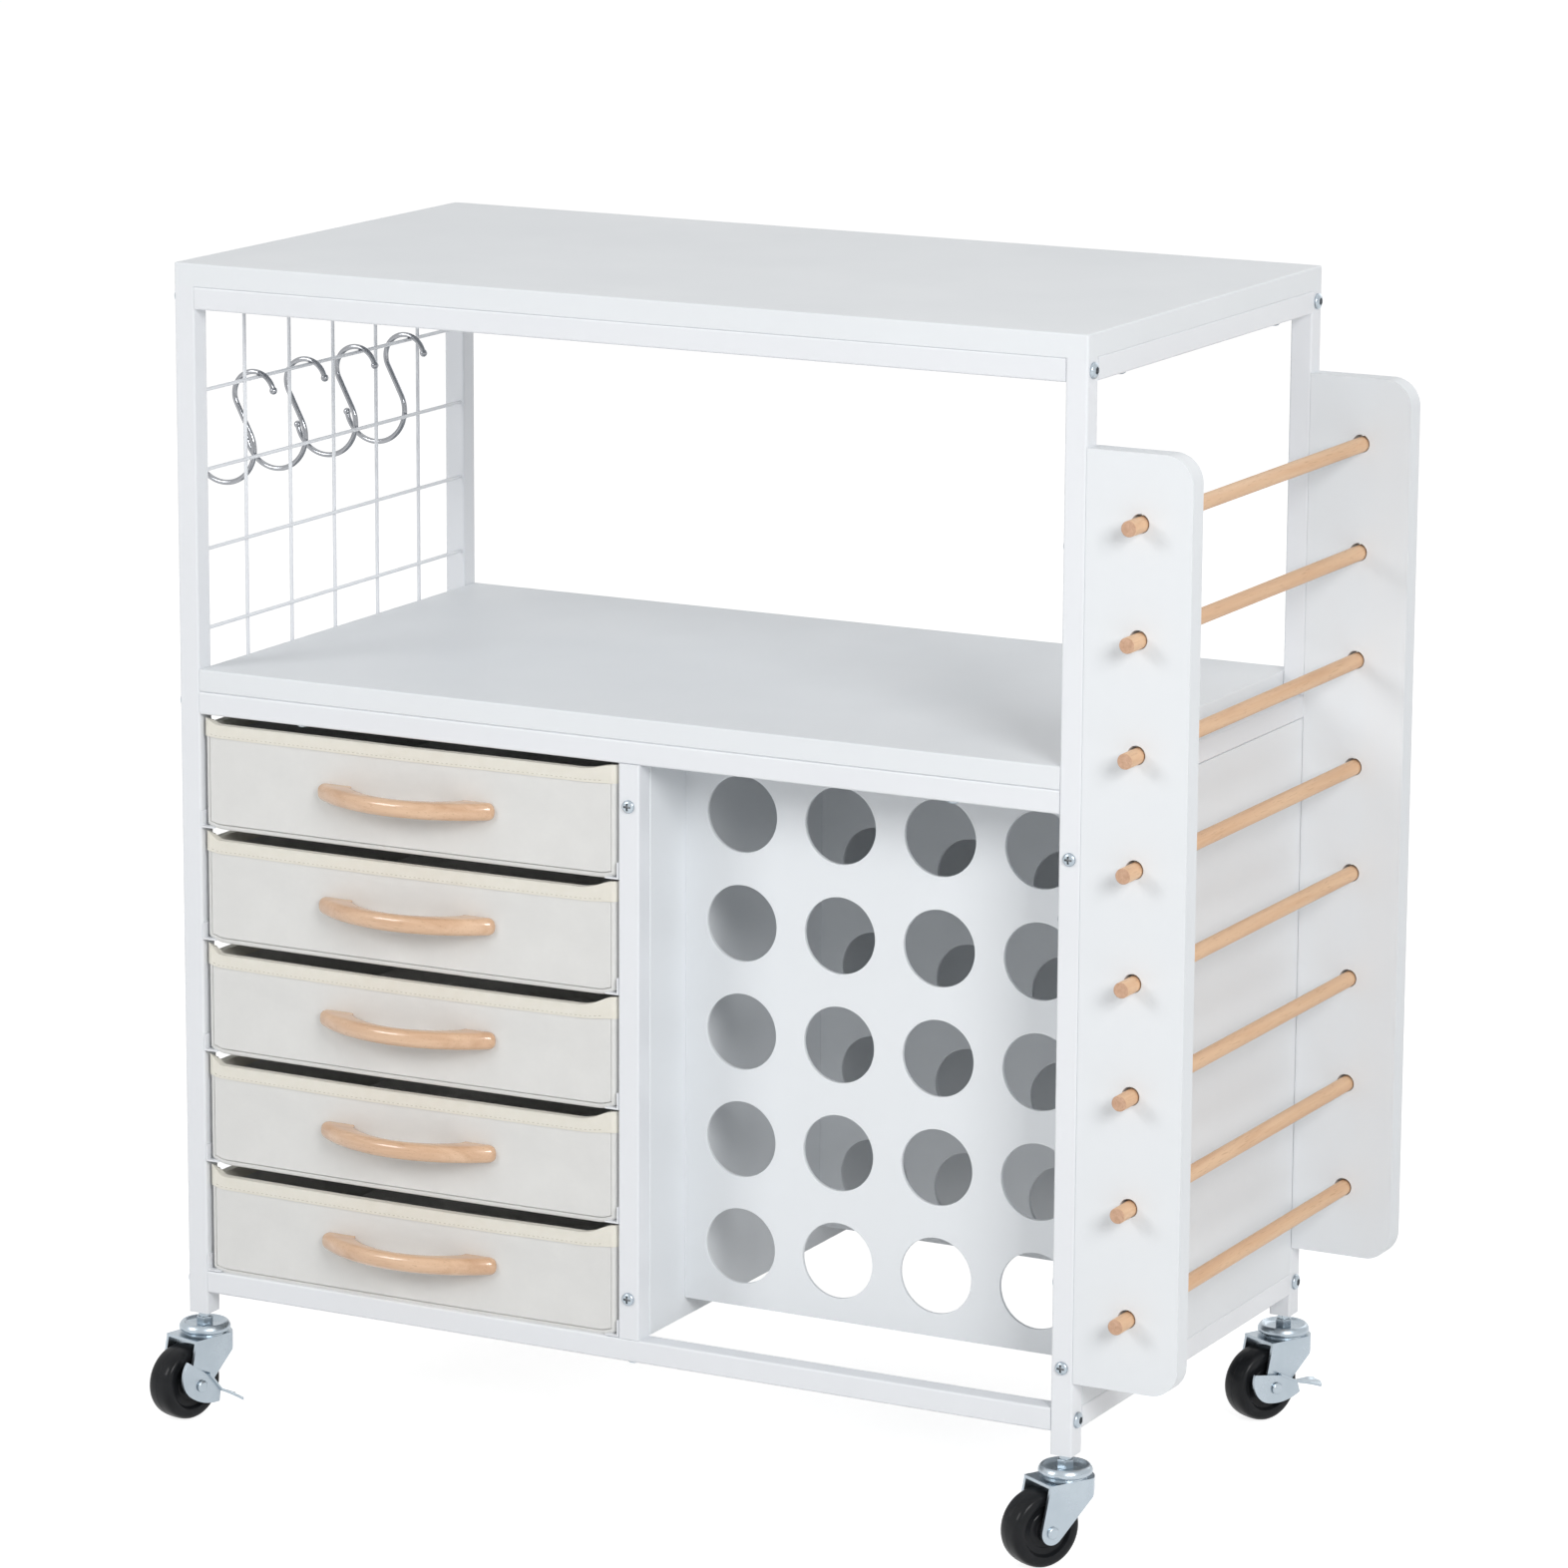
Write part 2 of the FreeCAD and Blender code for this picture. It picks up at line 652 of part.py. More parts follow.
def hook(step):
    # S-shaped wire hung over the grid's top wire, with a ball on each end
    y = firstColumn + HOOK_FROM_COLUMN + step * (GRID_COLUMN_PITCH + HOOK_DRIFT)
    pivot = Vector(GRID_FROM_LEFT, y, floorToPost + GRID_TOP_WIRE)
    top = hookTop
    low = hookLow
    apart = low - top
    lean = math.acos((HOOK_TOP_R + HOOK_LOW_R) / apart.Length)
    heading = math.atan2(apart.z, apart.x)
    leaveTop = math.degrees(heading - lean) % 360
    reachLow = (leaveTop + 180) % 360
    lowEnd = HOOK_LOW_END - 360

    def onCircle(centre, radius, degrees):
        angle = math.radians(degrees)
        return centre + Vector(radius * math.cos(angle), 0, radius * math.sin(angle))

    def arc(centre, radius, first, last):
        return Part.Arc(
            onCircle(centre, radius, first),
            onCircle(centre, radius, (first + last) / 2),
            onCircle(centre, radius, last),
        ).toShape()

    upper = arc(top, HOOK_TOP_R, HOOK_TOP_START, leaveTop)
    stem = Part.LineSegment(
        onCircle(top, HOOK_TOP_R, leaveTop),
        onCircle(low, HOOK_LOW_R, reachLow),
    ).toShape()
    lower = arc(low, HOOK_LOW_R, reachLow, lowEnd)
    path = Part.Wire([upper, stem, lower])
    start = onCircle(top, HOOK_TOP_R, HOOK_TOP_START)
    startAngle = math.radians(HOOK_TOP_START + 90)
    heading = Vector(math.cos(startAngle), 0, math.sin(startAngle))
    section = Part.Wire(Part.Circle(start, heading, HOOK_WIRE_R).toShape())
    wire = path.makePipeShell([section], True, True)
    tips = [
        Part.makeSphere(HOOK_TIP_R, start),
        Part.makeSphere(HOOK_TIP_R, onCircle(low, HOOK_LOW_R, lowEnd)),
    ]
    shape = wire.multiFuse(tips)
    shape.rotate(Vector(0, 0, 0), Y_AXIS, hookTurn())
    shape.translate(pivot)
    return shape


def wheel():
    # local frame: x along the trail, y along the axle, z from the floor
    outer = WHEEL_WIDTH / 2
    hub = FORK_HALF_WIDTH - FORK_SHEET - HUB_GAP
    bore = AXLE_R + RUNNING_GAP
    r = WHEEL_ROUND
    dip = r * (1 - math.sqrt(0.5))
    edges = []

    def line(a, b):
        edges.append(Part.LineSegment(Vector(*a), Vector(*b)).toShape())

    line((0, -hub, bore), (0, -hub, HUB_R))
    line((0, -hub, HUB_R), (0, -(outer - WHEEL_RECESS), HUB_R + 2))
    line((0, -(outer - WHEEL_RECESS), HUB_R + 2), (0, -(outer - WHEEL_RECESS), WHEEL_RECESS_R - 2))
    line((0, -(outer - WHEEL_RECESS), WHEEL_RECESS_R - 2), (0, -outer, WHEEL_RECESS_R))
    line((0, -outer, WHEEL_RECESS_R), (0, -outer, WHEEL_R - r))
    edges.append(Part.Arc(
        Vector(0, -outer, WHEEL_R - r),
        Vector(0, -outer + dip, WHEEL_R - dip),
        Vector(0, -outer + r, WHEEL_R),
    ).toShape())
    line((0, -outer + r, WHEEL_R), (0, outer - r, WHEEL_R))
    edges.append(Part.Arc(
        Vector(0, outer - r, WHEEL_R),
        Vector(0, outer - dip, WHEEL_R - dip),
        Vector(0, outer, WHEEL_R - r),
    ).toShape())
    line((0, outer, WHEEL_R - r), (0, outer, WHEEL_RECESS_R))
    line((0, outer, WHEEL_RECESS_R), (0, outer - WHEEL_RECESS, WHEEL_RECESS_R - 2))
    line((0, outer - WHEEL_RECESS, WHEEL_RECESS_R - 2), (0, outer - WHEEL_RECESS, HUB_R + 2))
    line((0, outer - WHEEL_RECESS, HUB_R + 2), (0, hub, HUB_R))
    line((0, hub, HUB_R), (0, hub, bore))
    line((0, hub, bore), (0, -hub, bore))
    solid = Part.Face(Part.Wire(edges)).revolve(Vector(0, 0, 0), Y_AXIS, 360)
    solid.translate(Vector(TRAIL, 0, WHEEL_R))
    return solid


capBottom = CASTER_HEIGHT - CAP_DROP
bossTop = capBottom - CAP_GAP
forkTop = bossTop - FORK_BOSS
forkUnder = forkTop - FORK_SHEET


def casterStem():
    # threaded stem, nut, dished cap and the pin that the fork turns on, as one riveted piece
    top = capBottom + CAP_HEIGHT
    dish = top - CAP_DISH
    pinEnd = forkUnder - BRAKE_GAP
    outline = [
        Vector(0, 0, pinEnd - KING_HEAD),
        Vector(KING_HEAD_R, 0, pinEnd - KING_HEAD),
        Vector(KING_HEAD_R, 0, pinEnd),
        Vector(KING_PIN_R, 0, pinEnd),
        Vector(KING_PIN_R, 0, capBottom),
        Vector(CAP_R, 0, capBottom),
        Vector(CAP_R, 0, capBottom + CAP_EDGE),
        Vector(CAP_RIM_R, 0, top),
        Vector(CAP_DISH_R, 0, top),
        Vector(CAP_DISH_R - CAP_DISH, 0, dish),
        Vector(STEM_R, 0, dish),
        Vector(STEM_R, 0, floorToPost + STEM_LENGTH),
        Vector(0, 0, floorToPost + STEM_LENGTH),
    ]
    turned = Part.Face(Part.makePolygon(outline + [outline[0]])).revolve(Vector(0, 0, 0), Z_AXIS, 360)
    nut = hexPrism(Vector(0, 0, dish), Z_AXIS, STEM_NUT, STEM_NUT_HEIGHT)
    return turned.fuse(nut).removeSplitter()


def forkPlan(noseRadius, halfWidth, tail, low, high):
    nose = Part.makeCylinder(noseRadius, high - low, Vector(0, 0, low))
    nose = nose.common(box(-noseRadius, 0, -halfWidth, halfWidth, low, high))
    return nose.fuse(box(0, tail, -halfWidth, halfWidth, low, high)).removeSplitter()


def tangentPoint(start, centre, radius, side):
    # where a line from start touches a circle, both seen from the side
    apart = centre - start
    lean = math.asin(radius / apart.Length) * side
    reach = math.sqrt(apart.Length ** 2 - radius ** 2)
    angle = math.atan2(apart.z, apart.x) + lean
    return start + Vector(reach * math.cos(angle), 0, reach * math.sin(angle))


def fork(hasBrake):
    # pressed yoke with a round nose, cut to a taper seen from the side, and its axle
    sheet = FORK_SHEET
    leg = FORK_LEG_R
    # the blank is made past the tail, and the side outline cuts it there
    blank = forkPlan(FORK_NOSE_R, FORK_HALF_WIDTH, FORK_TAIL + leg, 0, forkTop)
    hollow = forkPlan(FORK_NOSE_R - sheet, FORK_HALF_WIDTH - sheet, FORK_TAIL + leg, 0, forkUnder)
    noseLow = forkTop - FORK_NOSE_DEPTH
    width = FORK_HALF_WIDTH
    startY = -width - 1
    axle = Vector(TRAIL, startY, WHEEL_R)
    corners = [
        Vector(FORK_TAIL, startY, forkUnder),
        Vector(FORK_TAIL, startY, forkTop),
        Vector(-FORK_NOSE_R, startY, forkTop),
        Vector(-FORK_NOSE_R, startY, noseLow),
    ]
    ahead = tangentPoint(corners[3], axle, leg, -1)
    behind = tangentPoint(corners[0], axle, leg, 1)
    sides = [Part.Arc(ahead, axle + Vector(0, 0, -leg), behind).toShape()]
    points = [behind] + corners + [ahead]
    for first, last in zip(points, points[1:]):
        sides.append(Part.LineSegment(first, last).toShape())
    outline = Part.Wire(sides)
    mask = Part.Face(outline).extrude(Y_AXIS * (2 * width + 2))
    nose = []
    for edge in mask.Edges:
        atNose = abs(edge.BoundBox.XMin + FORK_NOSE_R) < 1e-3 and edge.BoundBox.ZMax < forkTop - 1e-3
        if alongAxis(edge, Y_AXIS) and atNose:
            nose.append(edge)
    mask = mask.makeFillet(FORK_NOSE_BEND, nose)
    boss = rod(Vector(0, 0, forkUnder), Z_AXIS, bossTop - forkUnder, FORK_BOSS_R)
    brim = [edge for edge in boss.Edges if edge.BoundBox.ZMin > bossTop - 1e-3]
    boss = boss.makeChamfer(FORK_BOSS / 2, brim)
    yoke = blank.cut(hollow).common(mask).fuse(boss)
    pinHole = rod(Vector(0, 0, forkUnder), Z_AXIS, bossTop - forkUnder, KING_PIN_R + RUNNING_GAP)
    axleHole = rod(Vector(TRAIL, -width, WHEEL_R), Y_AXIS, 2 * width, AXLE_R)
    yoke = yoke.cut(pinHole).cut(axleHole).removeSplitter()
    outside = width + (BRAKE_GAP * 2 + BRAKE_SHEET if hasBrake else 0)
    bar = rod(Vector(TRAIL, -width, WHEEL_R), Y_AXIS, width + outside, AXLE_R)
    near = headShape(Vector(TRAIL, outside, WHEEL_R), Y_AXIS, AXLE_HEAD_R, AXLE_HEAD)
    far = headShape(Vector(TRAIL, -width, WHEEL_R), Y_AXIS * -1, AXLE_HEAD_R, AXLE_HEAD)
    return Part.makeCompound([yoke, joined([bar, near, far])])


def brakeLever(lifted):
    # pressed plate on the axle with a turned-out pedal towards the caster's nose
    plateY = FORK_HALF_WIDTH + BRAKE_GAP
    axle = Vector(TRAIL, plateY, WHEEL_R)
    point = {name: axle + Vector(along, 0, up) for name, (along, up) in LEVER.items()}
    neck = point["neck"]
    bend = point["bend"]
    tip = point["tip"]
    outline = Part.Wire([
        Part.Arc(point["corner"], point["belly"], point["heel"]).toShape(),
        Part.Arc(point["heel"], point["foot"], point["toe"]).toShape(),
        Part.LineSegment(point["toe"], bend).toShape(),
        Part.LineSegment(bend, neck).toShape(),
        Part.LineSegment(neck, point["corner"]).toShape(),
    ])
    plate = Part.Face(outline).extrude(Y_AXIS * BRAKE_SHEET)
    plate = plate.cut(rod(axle, Y_AXIS, BRAKE_SHEET, AXLE_R + RUNNING_GAP))
    # the turned edge runs along the plate's upper side and widens into a rounded pedal
    rise = Vector(0, 0, BRAKE_SHEET)
    bent = Part.makePolygon([neck, bend, tip, tip + rise, bend + rise, neck + rise, neck])
    strip = Part.Face(bent).extrude(Y_AXIS * BRAKE_PEDAL_WIDTH)
    edgeWidth = 2 * BRAKE_SHEET
    low = strip.BoundBox.ZMin
    neckX, bendX, tipX = neck.x, bend.x, tip.x

    def onPlan(x, aside):
        return Vector(x, plateY + aside, low)

    nearTip = tipX + PEDAL_TIP_LENGTH
    plan = Part.Wire([
        Part.LineSegment(onPlan(neckX, 0), onPlan(nearTip, 0)).toShape(),
        Part.Arc(
            onPlan(nearTip, 0),
            onPlan(tipX, BRAKE_PEDAL_WIDTH * PEDAL_TIP_BULGE),
            onPlan(nearTip, BRAKE_PEDAL_WIDTH),
        ).toShape(),
        Part.LineSegment(onPlan(nearTip, BRAKE_PEDAL_WIDTH), onPlan(bendX, edgeWidth)).toShape(),
        Part.LineSegment(onPlan(bendX, edgeWidth), onPlan(neckX, edgeWidth)).toShape(),
        Part.LineSegment(onPlan(neckX, edgeWidth), onPlan(neckX, 0)).toShape(),
    ])
    strip = strip.common(Part.Face(plan).extrude(Z_AXIS * strip.BoundBox.ZLength))
    lever = joined([plate, strip])
    lever.rotate(axle, Y_AXIS, lifted)
    return lever


def placedCaster(shape, name):
    for caster, isRight, isRear, trail, hasBrake, lifted in CASTERS:
        if caster == name:
            x = FRAME_WIDTH - half if isRight else half
            y = FRAME_DEPTH - half if isRear else half
            moved = shape.copy()
            moved.rotate(Vector(0, 0, 0), Z_AXIS, trail)
            moved.translate(Vector(x, y, 0))
            return moved
    return shape


def buildNodes():
    nodes = {
        "left_side_frame": sideFrame(0),
        "right_side_frame": sideFrame(rightPost),
        "top_front_rail": longRail(0, topRail),
        "top_rear_rail": longRail(rearPost, topRail),
        "shelf_front_rail": longRail(0, shelfRail),
        "shelf_rear_rail": longRail(rearPost, shelfRail),
        "bottom_front_rail": longRail(0, bottomRail),
        "bottom_rear_rail": longRail(rearPost, bottomRail),
        "front_middle_post": middlePost(0),
        "rear_middle_post": middlePost(rearPost),
        "top_board": topBoard(),
        "shelf_board": shelfBoard(),
        "right_side_panel": uprightPanel(rightPost, shelfRail),
        "divider_panel": uprightPanel(midPostLeft, shelfRailTop),
        "front_roll_board": rollBoard(ROLL_BOARD_FRONT),
        "rear_roll_board": rollBoard(ROLL_BOARD_FRONT + ROLL_BOARD_GAP),
        "back_panel": backPanel(),
        "front_dowel_panel": dowelPanel(0),
        "rear_dowel_panel": dowelPanel(rearPost),
        "wire_grid": wireGrid(),
        "drawer_runners": drawerRunners(),
        "frame_bolts": frameBolts(),
        "panel_screws": panelScrewSet(),
        "tube_inserts": tubeInserts(),
    }
    stems = []
    for name, isRight, isRear, trail, hasBrake, lifted in CASTERS:
        stems.append(placedCaster(casterStem(), name))
        nodes["fork_" + name] = placedCaster(fork(hasBrake), name)
        nodes["wheel_" + name] = placedCaster(wheel(), name)
        if hasBrake:
            nodes["brake_" + name] = placedCaster(brakeLever(lifted), name)
    nodes["caster_stems"] = Part.makeCompound(stems)
    for step in range(DRAWER_COUNT):
        number = DRAWER_COUNT - step
        nodes["drawer_%d" % number] = drawer(step)
        nodes["handle_%d" % number] = handle(step)
    for step in range(DOWEL_COUNT):
        nodes["dowel_%d" % (DOWEL_COUNT - step)] = dowel(step)
    for step in range(HOOK_COUNT):
        nodes["hook_%d" % (step + 1)] = hook(step)
    return nodes


def main():
    nodes = buildNodes()
    whole = Part.makeCompound(list(nodes.values())).optimalBoundingBox(True, False)
    move = Vector(-(whole.XMin + whole.XMax) / 2, -(whole.YMin + whole.YMax) / 2, -whole.ZMin)
    os.makedirs("parts", exist_ok=True)
    for name, shape in nodes.items():
        shape.translate(move)
        shape.exportStep("parts/" + name + ".step")
    print("moved by %.4f %.4f %.4f" % (move.x, move.y, move.z))
    print("size %.3f %.3f %.3f" % (whole.XLength, whole.YLength, whole.ZLength))
    print("hook leans %.2f degrees" % hookTurn())


main()
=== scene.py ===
import bmesh
import bpy
import json
import math
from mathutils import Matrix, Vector, noise


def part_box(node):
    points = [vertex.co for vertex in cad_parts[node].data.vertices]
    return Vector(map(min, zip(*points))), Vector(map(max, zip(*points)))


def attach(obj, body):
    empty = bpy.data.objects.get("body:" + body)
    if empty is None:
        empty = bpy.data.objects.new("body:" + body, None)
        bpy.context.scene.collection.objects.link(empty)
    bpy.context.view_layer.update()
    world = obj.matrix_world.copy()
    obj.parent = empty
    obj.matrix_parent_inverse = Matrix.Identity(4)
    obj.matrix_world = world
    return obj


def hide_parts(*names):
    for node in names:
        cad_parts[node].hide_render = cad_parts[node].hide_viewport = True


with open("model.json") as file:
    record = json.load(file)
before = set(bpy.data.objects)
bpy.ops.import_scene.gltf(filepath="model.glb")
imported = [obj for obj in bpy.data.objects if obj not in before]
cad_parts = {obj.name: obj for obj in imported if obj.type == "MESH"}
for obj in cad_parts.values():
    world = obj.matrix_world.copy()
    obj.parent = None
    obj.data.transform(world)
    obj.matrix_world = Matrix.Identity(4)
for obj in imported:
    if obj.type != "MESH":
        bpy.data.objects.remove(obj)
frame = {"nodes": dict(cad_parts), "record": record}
bpy.ops.object.select_all(action="DESELECT")
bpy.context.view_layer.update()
nodes = frame["nodes"]
mm = 0.001
print("frame loaded:", len(nodes), "nodes")

# tools used by every piece

def only(piece):
    bpy.ops.object.select_all(action="DESELECT")
    piece.select_set(True)
    bpy.context.view_layer.objects.active = piece


def editMesh(piece):
    only(piece)
    bpy.ops.object.mode_set(mode="EDIT")
    return bmesh.from_edit_mesh(piece.data)


def leaveEdit():
    bpy.ops.object.mode_set(mode="OBJECT")


def settle(name):
    # the new primitive gets its name, and its place goes into its mesh
    piece = bpy.context.object
    piece.name = name
    piece.data.name = name
    bpy.ops.object.transform_apply(location=True, rotation=True, scale=True)
    return piece


def block(name, low, high):
    low, high = Vector(low), Vector(high)
    bpy.ops.object.select_all(action="DESELECT")
    bpy.ops.mesh.primitive_cube_add(size=1, location=(low + high) / 2, scale=high - low)
    return settle(name)


def bar(name, start, end, radius, sides=24):
    # round bar from start to end
    start, end = Vector(start), Vector(end)
    turn = (end - start).to_track_quat("Z", "Y").to_euler()
    bpy.ops.object.select_all(action="DESELECT")
    bpy.ops.mesh.primitive_cylinder_add(
        vertices=sides, radius=radius, depth=(end - start).length,
        location=(start + end) / 2, rotation=turn)
    return settle(name)


def pick(mesh, test, kind="faces"):
    # selects only the faces, edges or points that pass the test
    for part in (mesh.verts, mesh.edges, mesh.faces):
        for item in part:
            item.select_set(False)
    for item in getattr(mesh, kind):
        if test(item):
            item.select_set(True)
    mesh.select_flush_mode()


def selectMode(kind):
    bpy.ops.mesh.select_mode(type={"faces": "FACE", "edges": "EDGE", "verts": "VERT"}[kind])


def applyModifiers(piece):
    only(piece)
    for modifier in list(piece.modifiers):
        bpy.ops.object.modifier_apply(modifier=modifier.name)


def addModifier(piece, kind, **settings):
    modifier = piece.modifiers.new(kind.title(), kind)
    for key, value in settings.items():
        setattr(modifier, key, value)
    return modifier


def smooth(piece, degrees=35):
    only(piece)
    bpy.ops.object.shade_smooth_by_angle(angle=math.radians(degrees))


def rounded(piece, width, segments=2, angle=30):
    # eased edges, with the flat faces kept flat to the eye
    addModifier(piece, "BEVEL", width=width, segments=segments, limit_method="ANGLE",
                angle_limit=math.radians(angle))
    applyModifiers(piece)
    smooth(piece, 50)
    addModifier(piece, "WEIGHTED_NORMAL", keep_sharp=True)
    applyModifiers(piece)
    return piece


def outward(piece, merge=1e-6):
    editMesh(piece)
    bpy.ops.mesh.select_all(action="SELECT")
    bpy.ops.mesh.remove_doubles(threshold=merge)
    bpy.ops.mesh.normals_make_consistent(inside=False)
    leaveEdit()


def joined(name, pieces):
    bpy.ops.object.select_all(action="DESELECT")
    for piece in pieces:
        piece.select_set(True)
    bpy.context.view_layer.objects.active = pieces[0]
    if len(pieces) > 1:
        bpy.ops.object.join()
    whole = bpy.context.object
    whole.name = name
    whole.data.name = name
    return whole


def copied(piece, name):
    twin = piece.copy()
    twin.data = piece.data.copy()
    twin.name = name
    twin.data.name = name
    bpy.context.collection.objects.link(twin)
    return twin


def turned(name, profile, sides=48, closed=False):
    # lathe work about +Z: rings are extruded edge by edge along (radius, height) pairs
    firstRadius, firstHeight = profile[0]
    bpy.ops.object.select_all(action="DESELECT")
    bpy.ops.mesh.primitive_circle_add(
        vertices=sides, radius=firstRadius, fill_type="NOTHING", location=(0, 0, firstHeight))
    piece = settle(name)
    only(piece)
    bpy.ops.object.mode_set(mode="EDIT")
    selectMode("edges")
    bpy.ops.mesh.select_all(action="SELECT")
    if not closed:
        bpy.ops.mesh.edge_face_add()
    radius, height = firstRadius, firstHeight
    for nextRadius, nextHeight in profile[1:]:
        bpy.ops.mesh.extrude_region_move(
            TRANSFORM_OT_translate={"value": (0, 0, nextHeight - height)})
        ratio = nextRadius / radius
        bpy.ops.transform.resize(value=(ratio, ratio, 1), center_override=(0, 0, nextHeight))
        radius, height = nextRadius, nextHeight
    leaveEdit()
    outward(piece)
    return piece


def stand(piece, place, axis):
    # turns a piece made about +Z so that it points along axis, and moves it to its place
    piece.rotation_euler = Vector(axis).to_track_quat("Z", "Y").to_euler()
    piece.location = place
    only(piece)
    bpy.ops.object.transform_apply(location=True, rotation=True, scale=True)
    return piece


def swept(name, stations, sides):
    # round section led along stations: (centre, direction, radius)
    centre, heading, radius = stations[0]
    turn = heading.to_track_quat("Z", "Y").to_euler()
    bpy.ops.object.select_all(action="DESELECT")
    bpy.ops.mesh.primitive_circle_add(
        vertices=sides, radius=radius, fill_type="NGON", location=centre, rotation=turn)
    piece = settle(name)
    only(piece)
    bpy.ops.object.mode_set(mode="EDIT")
    selectMode("edges")
    bpy.ops.mesh.select_all(action="SELECT")
    for nextCentre, nextHeading, nextRadius in stations[1:]:
        bpy.ops.mesh.extrude_region_move(
            TRANSFORM_OT_translate={"value": nextCentre - centre})
        mesh = bmesh.from_edit_mesh(piece.data)
        turn = heading.rotation_difference(nextHeading)
        ring = [vert for vert in mesh.verts if vert.select]
        for vert in ring:
            vert.co = nextCentre + turn @ (vert.co - nextCentre) * (nextRadius / radius)
        bmesh.update_edit_mesh(piece.data)
        centre, heading, radius = nextCentre, nextHeading, nextRadius
    leaveEdit()
    outward(piece)
    return piece


# finishes

def newMaterial(name):
    material = bpy.data.materials.new(name)
    material.use_nodes = True
    return material, material.node_tree, material.node_tree.nodes["Principled BSDF"]


def node(tree, kind, x, y, **settings):
    made = tree.nodes.new(kind)
    made.location = (x, y)
    for key, value in settings.items():
        if hasattr(made, key):
            setattr(made, key, value)
        else:
            made.inputs[key].default_value = value
    return made


def link(source, target):
    source.id_data.links.new(source, target)


def newGroup(name, inputs, outputs):
    # inputs and outputs: (socket name, socket type, start value)
    tree = bpy.data.node_groups.new(name, "ShaderNodeTree")
    for label, kind, value in inputs:
        socket = tree.interface.new_socket(name=label, in_out="INPUT", socket_type=kind)
        if value is not None:
            socket.default_value = value
    for label, kind in outputs:
        tree.interface.new_socket(name=label, in_out="OUTPUT", socket_type=kind)
    return tree, node(tree, "NodeGroupInput", -900, 0), node(tree, "NodeGroupOutput", 700, 0)


def placeGroup(tree, group, x, y, **values):
    made = node(tree, "ShaderNodeGroup", x, y)
    made.node_tree = group
    for key, value in values.items():
        made.inputs[key].default_value = value
    return made


floatSocket, colourSocket, vectorSocket = "NodeSocketFloat", "NodeSocketColor", "NodeSocketVector"


def mixColour(tree, x, y, factor, first, second):
    # first and second are colours or sockets
    mix = node(tree, "ShaderNodeMix", x, y, data_type="RGBA")
    link(factor, mix.inputs[0])
    for index, value in ((6, first), (7, second)):
        if isinstance(value, bpy.types.NodeSocket):
            link(value, mix.inputs[index])
        else:
            mix.inputs[index].default_value = value
    return mix.outputs[2]


def mapRange(tree, x, y, value, fromMin, fromMax, toMax=1.0):
    made = node(tree, "ShaderNodeMapRange", x, y)
    made.inputs["From Min"].default_value = fromMin
    made.inputs["From Max"].default_value = fromMax
    made.inputs["To Max"].default_value = toMax
    link(value, made.inputs["Value"])
    return made.outputs["Result"]


def makeCloudGroup():
    # soft patches of a second tone, and a roughness that follows them
    tree, into, out = newGroup("toneClouds", [
        ("Place", vectorSocket, None),
        ("Tone", colourSocket, (0.8, 0.8, 0.8, 1)),
        ("Other tone", colourSocket, (0.7, 0.7, 0.7, 1)),
        ("Patches", floatSocket, 20.0),
        ("Smoothest", floatSocket, 0.3),
        ("Roughest", floatSocket, 0.4),
    ], [("Colour", colourSocket), ("Roughness", floatSocket)])
    cloud = node(tree, "ShaderNodeTexNoise", -600, 100, Detail=4.0, Roughness=0.55)
    link(into.outputs["Place"], cloud.inputs["Vector"])
    link(into.outputs["Patches"], cloud.inputs["Scale"])
    spread = mapRange(tree, -350, 100, cloud.outputs["Fac"], 0.3, 0.7)
    colour = mixColour(tree, 0, 150, spread, into.outputs["Tone"], into.outputs["Other tone"])
    gloss = node(tree, "ShaderNodeMapRange", 0, -150)
    link(spread, gloss.inputs["Value"])
    link(into.outputs["Smoothest"], gloss.inputs["To Min"])
    link(into.outputs["Roughest"], gloss.inputs["To Max"])
    link(colour, out.inputs["Colour"])
    link(gloss.outputs["Result"], out.inputs["Roughness"])
    return tree


def makeGrainGroup():
    # fine uneven skin; Depth is its height in metres
    tree, into, out = newGroup("fineGrain", [
        ("Place", vectorSocket, None),
        ("Grains", floatSocket, 900.0),
        ("Depth", floatSocket, 0.00005),
        ("Strength", floatSocket, 0.3),
    ], [("Normal", vectorSocket)])
    fine = node(tree, "ShaderNodeTexNoise", -600, 100, Detail=2.0)
    link(into.outputs["Place"], fine.inputs["Vector"])
    link(into.outputs["Grains"], fine.inputs["Scale"])
    bump = node(tree, "ShaderNodeBump", 200, 0)
    link(fine.outputs["Fac"], bump.inputs["Height"])
    link(into.outputs["Depth"], bump.inputs["Distance"])
    link(into.outputs["Strength"], bump.inputs["Strength"])
    link(bump.outputs["Normal"], out.inputs["Normal"])
    return tree


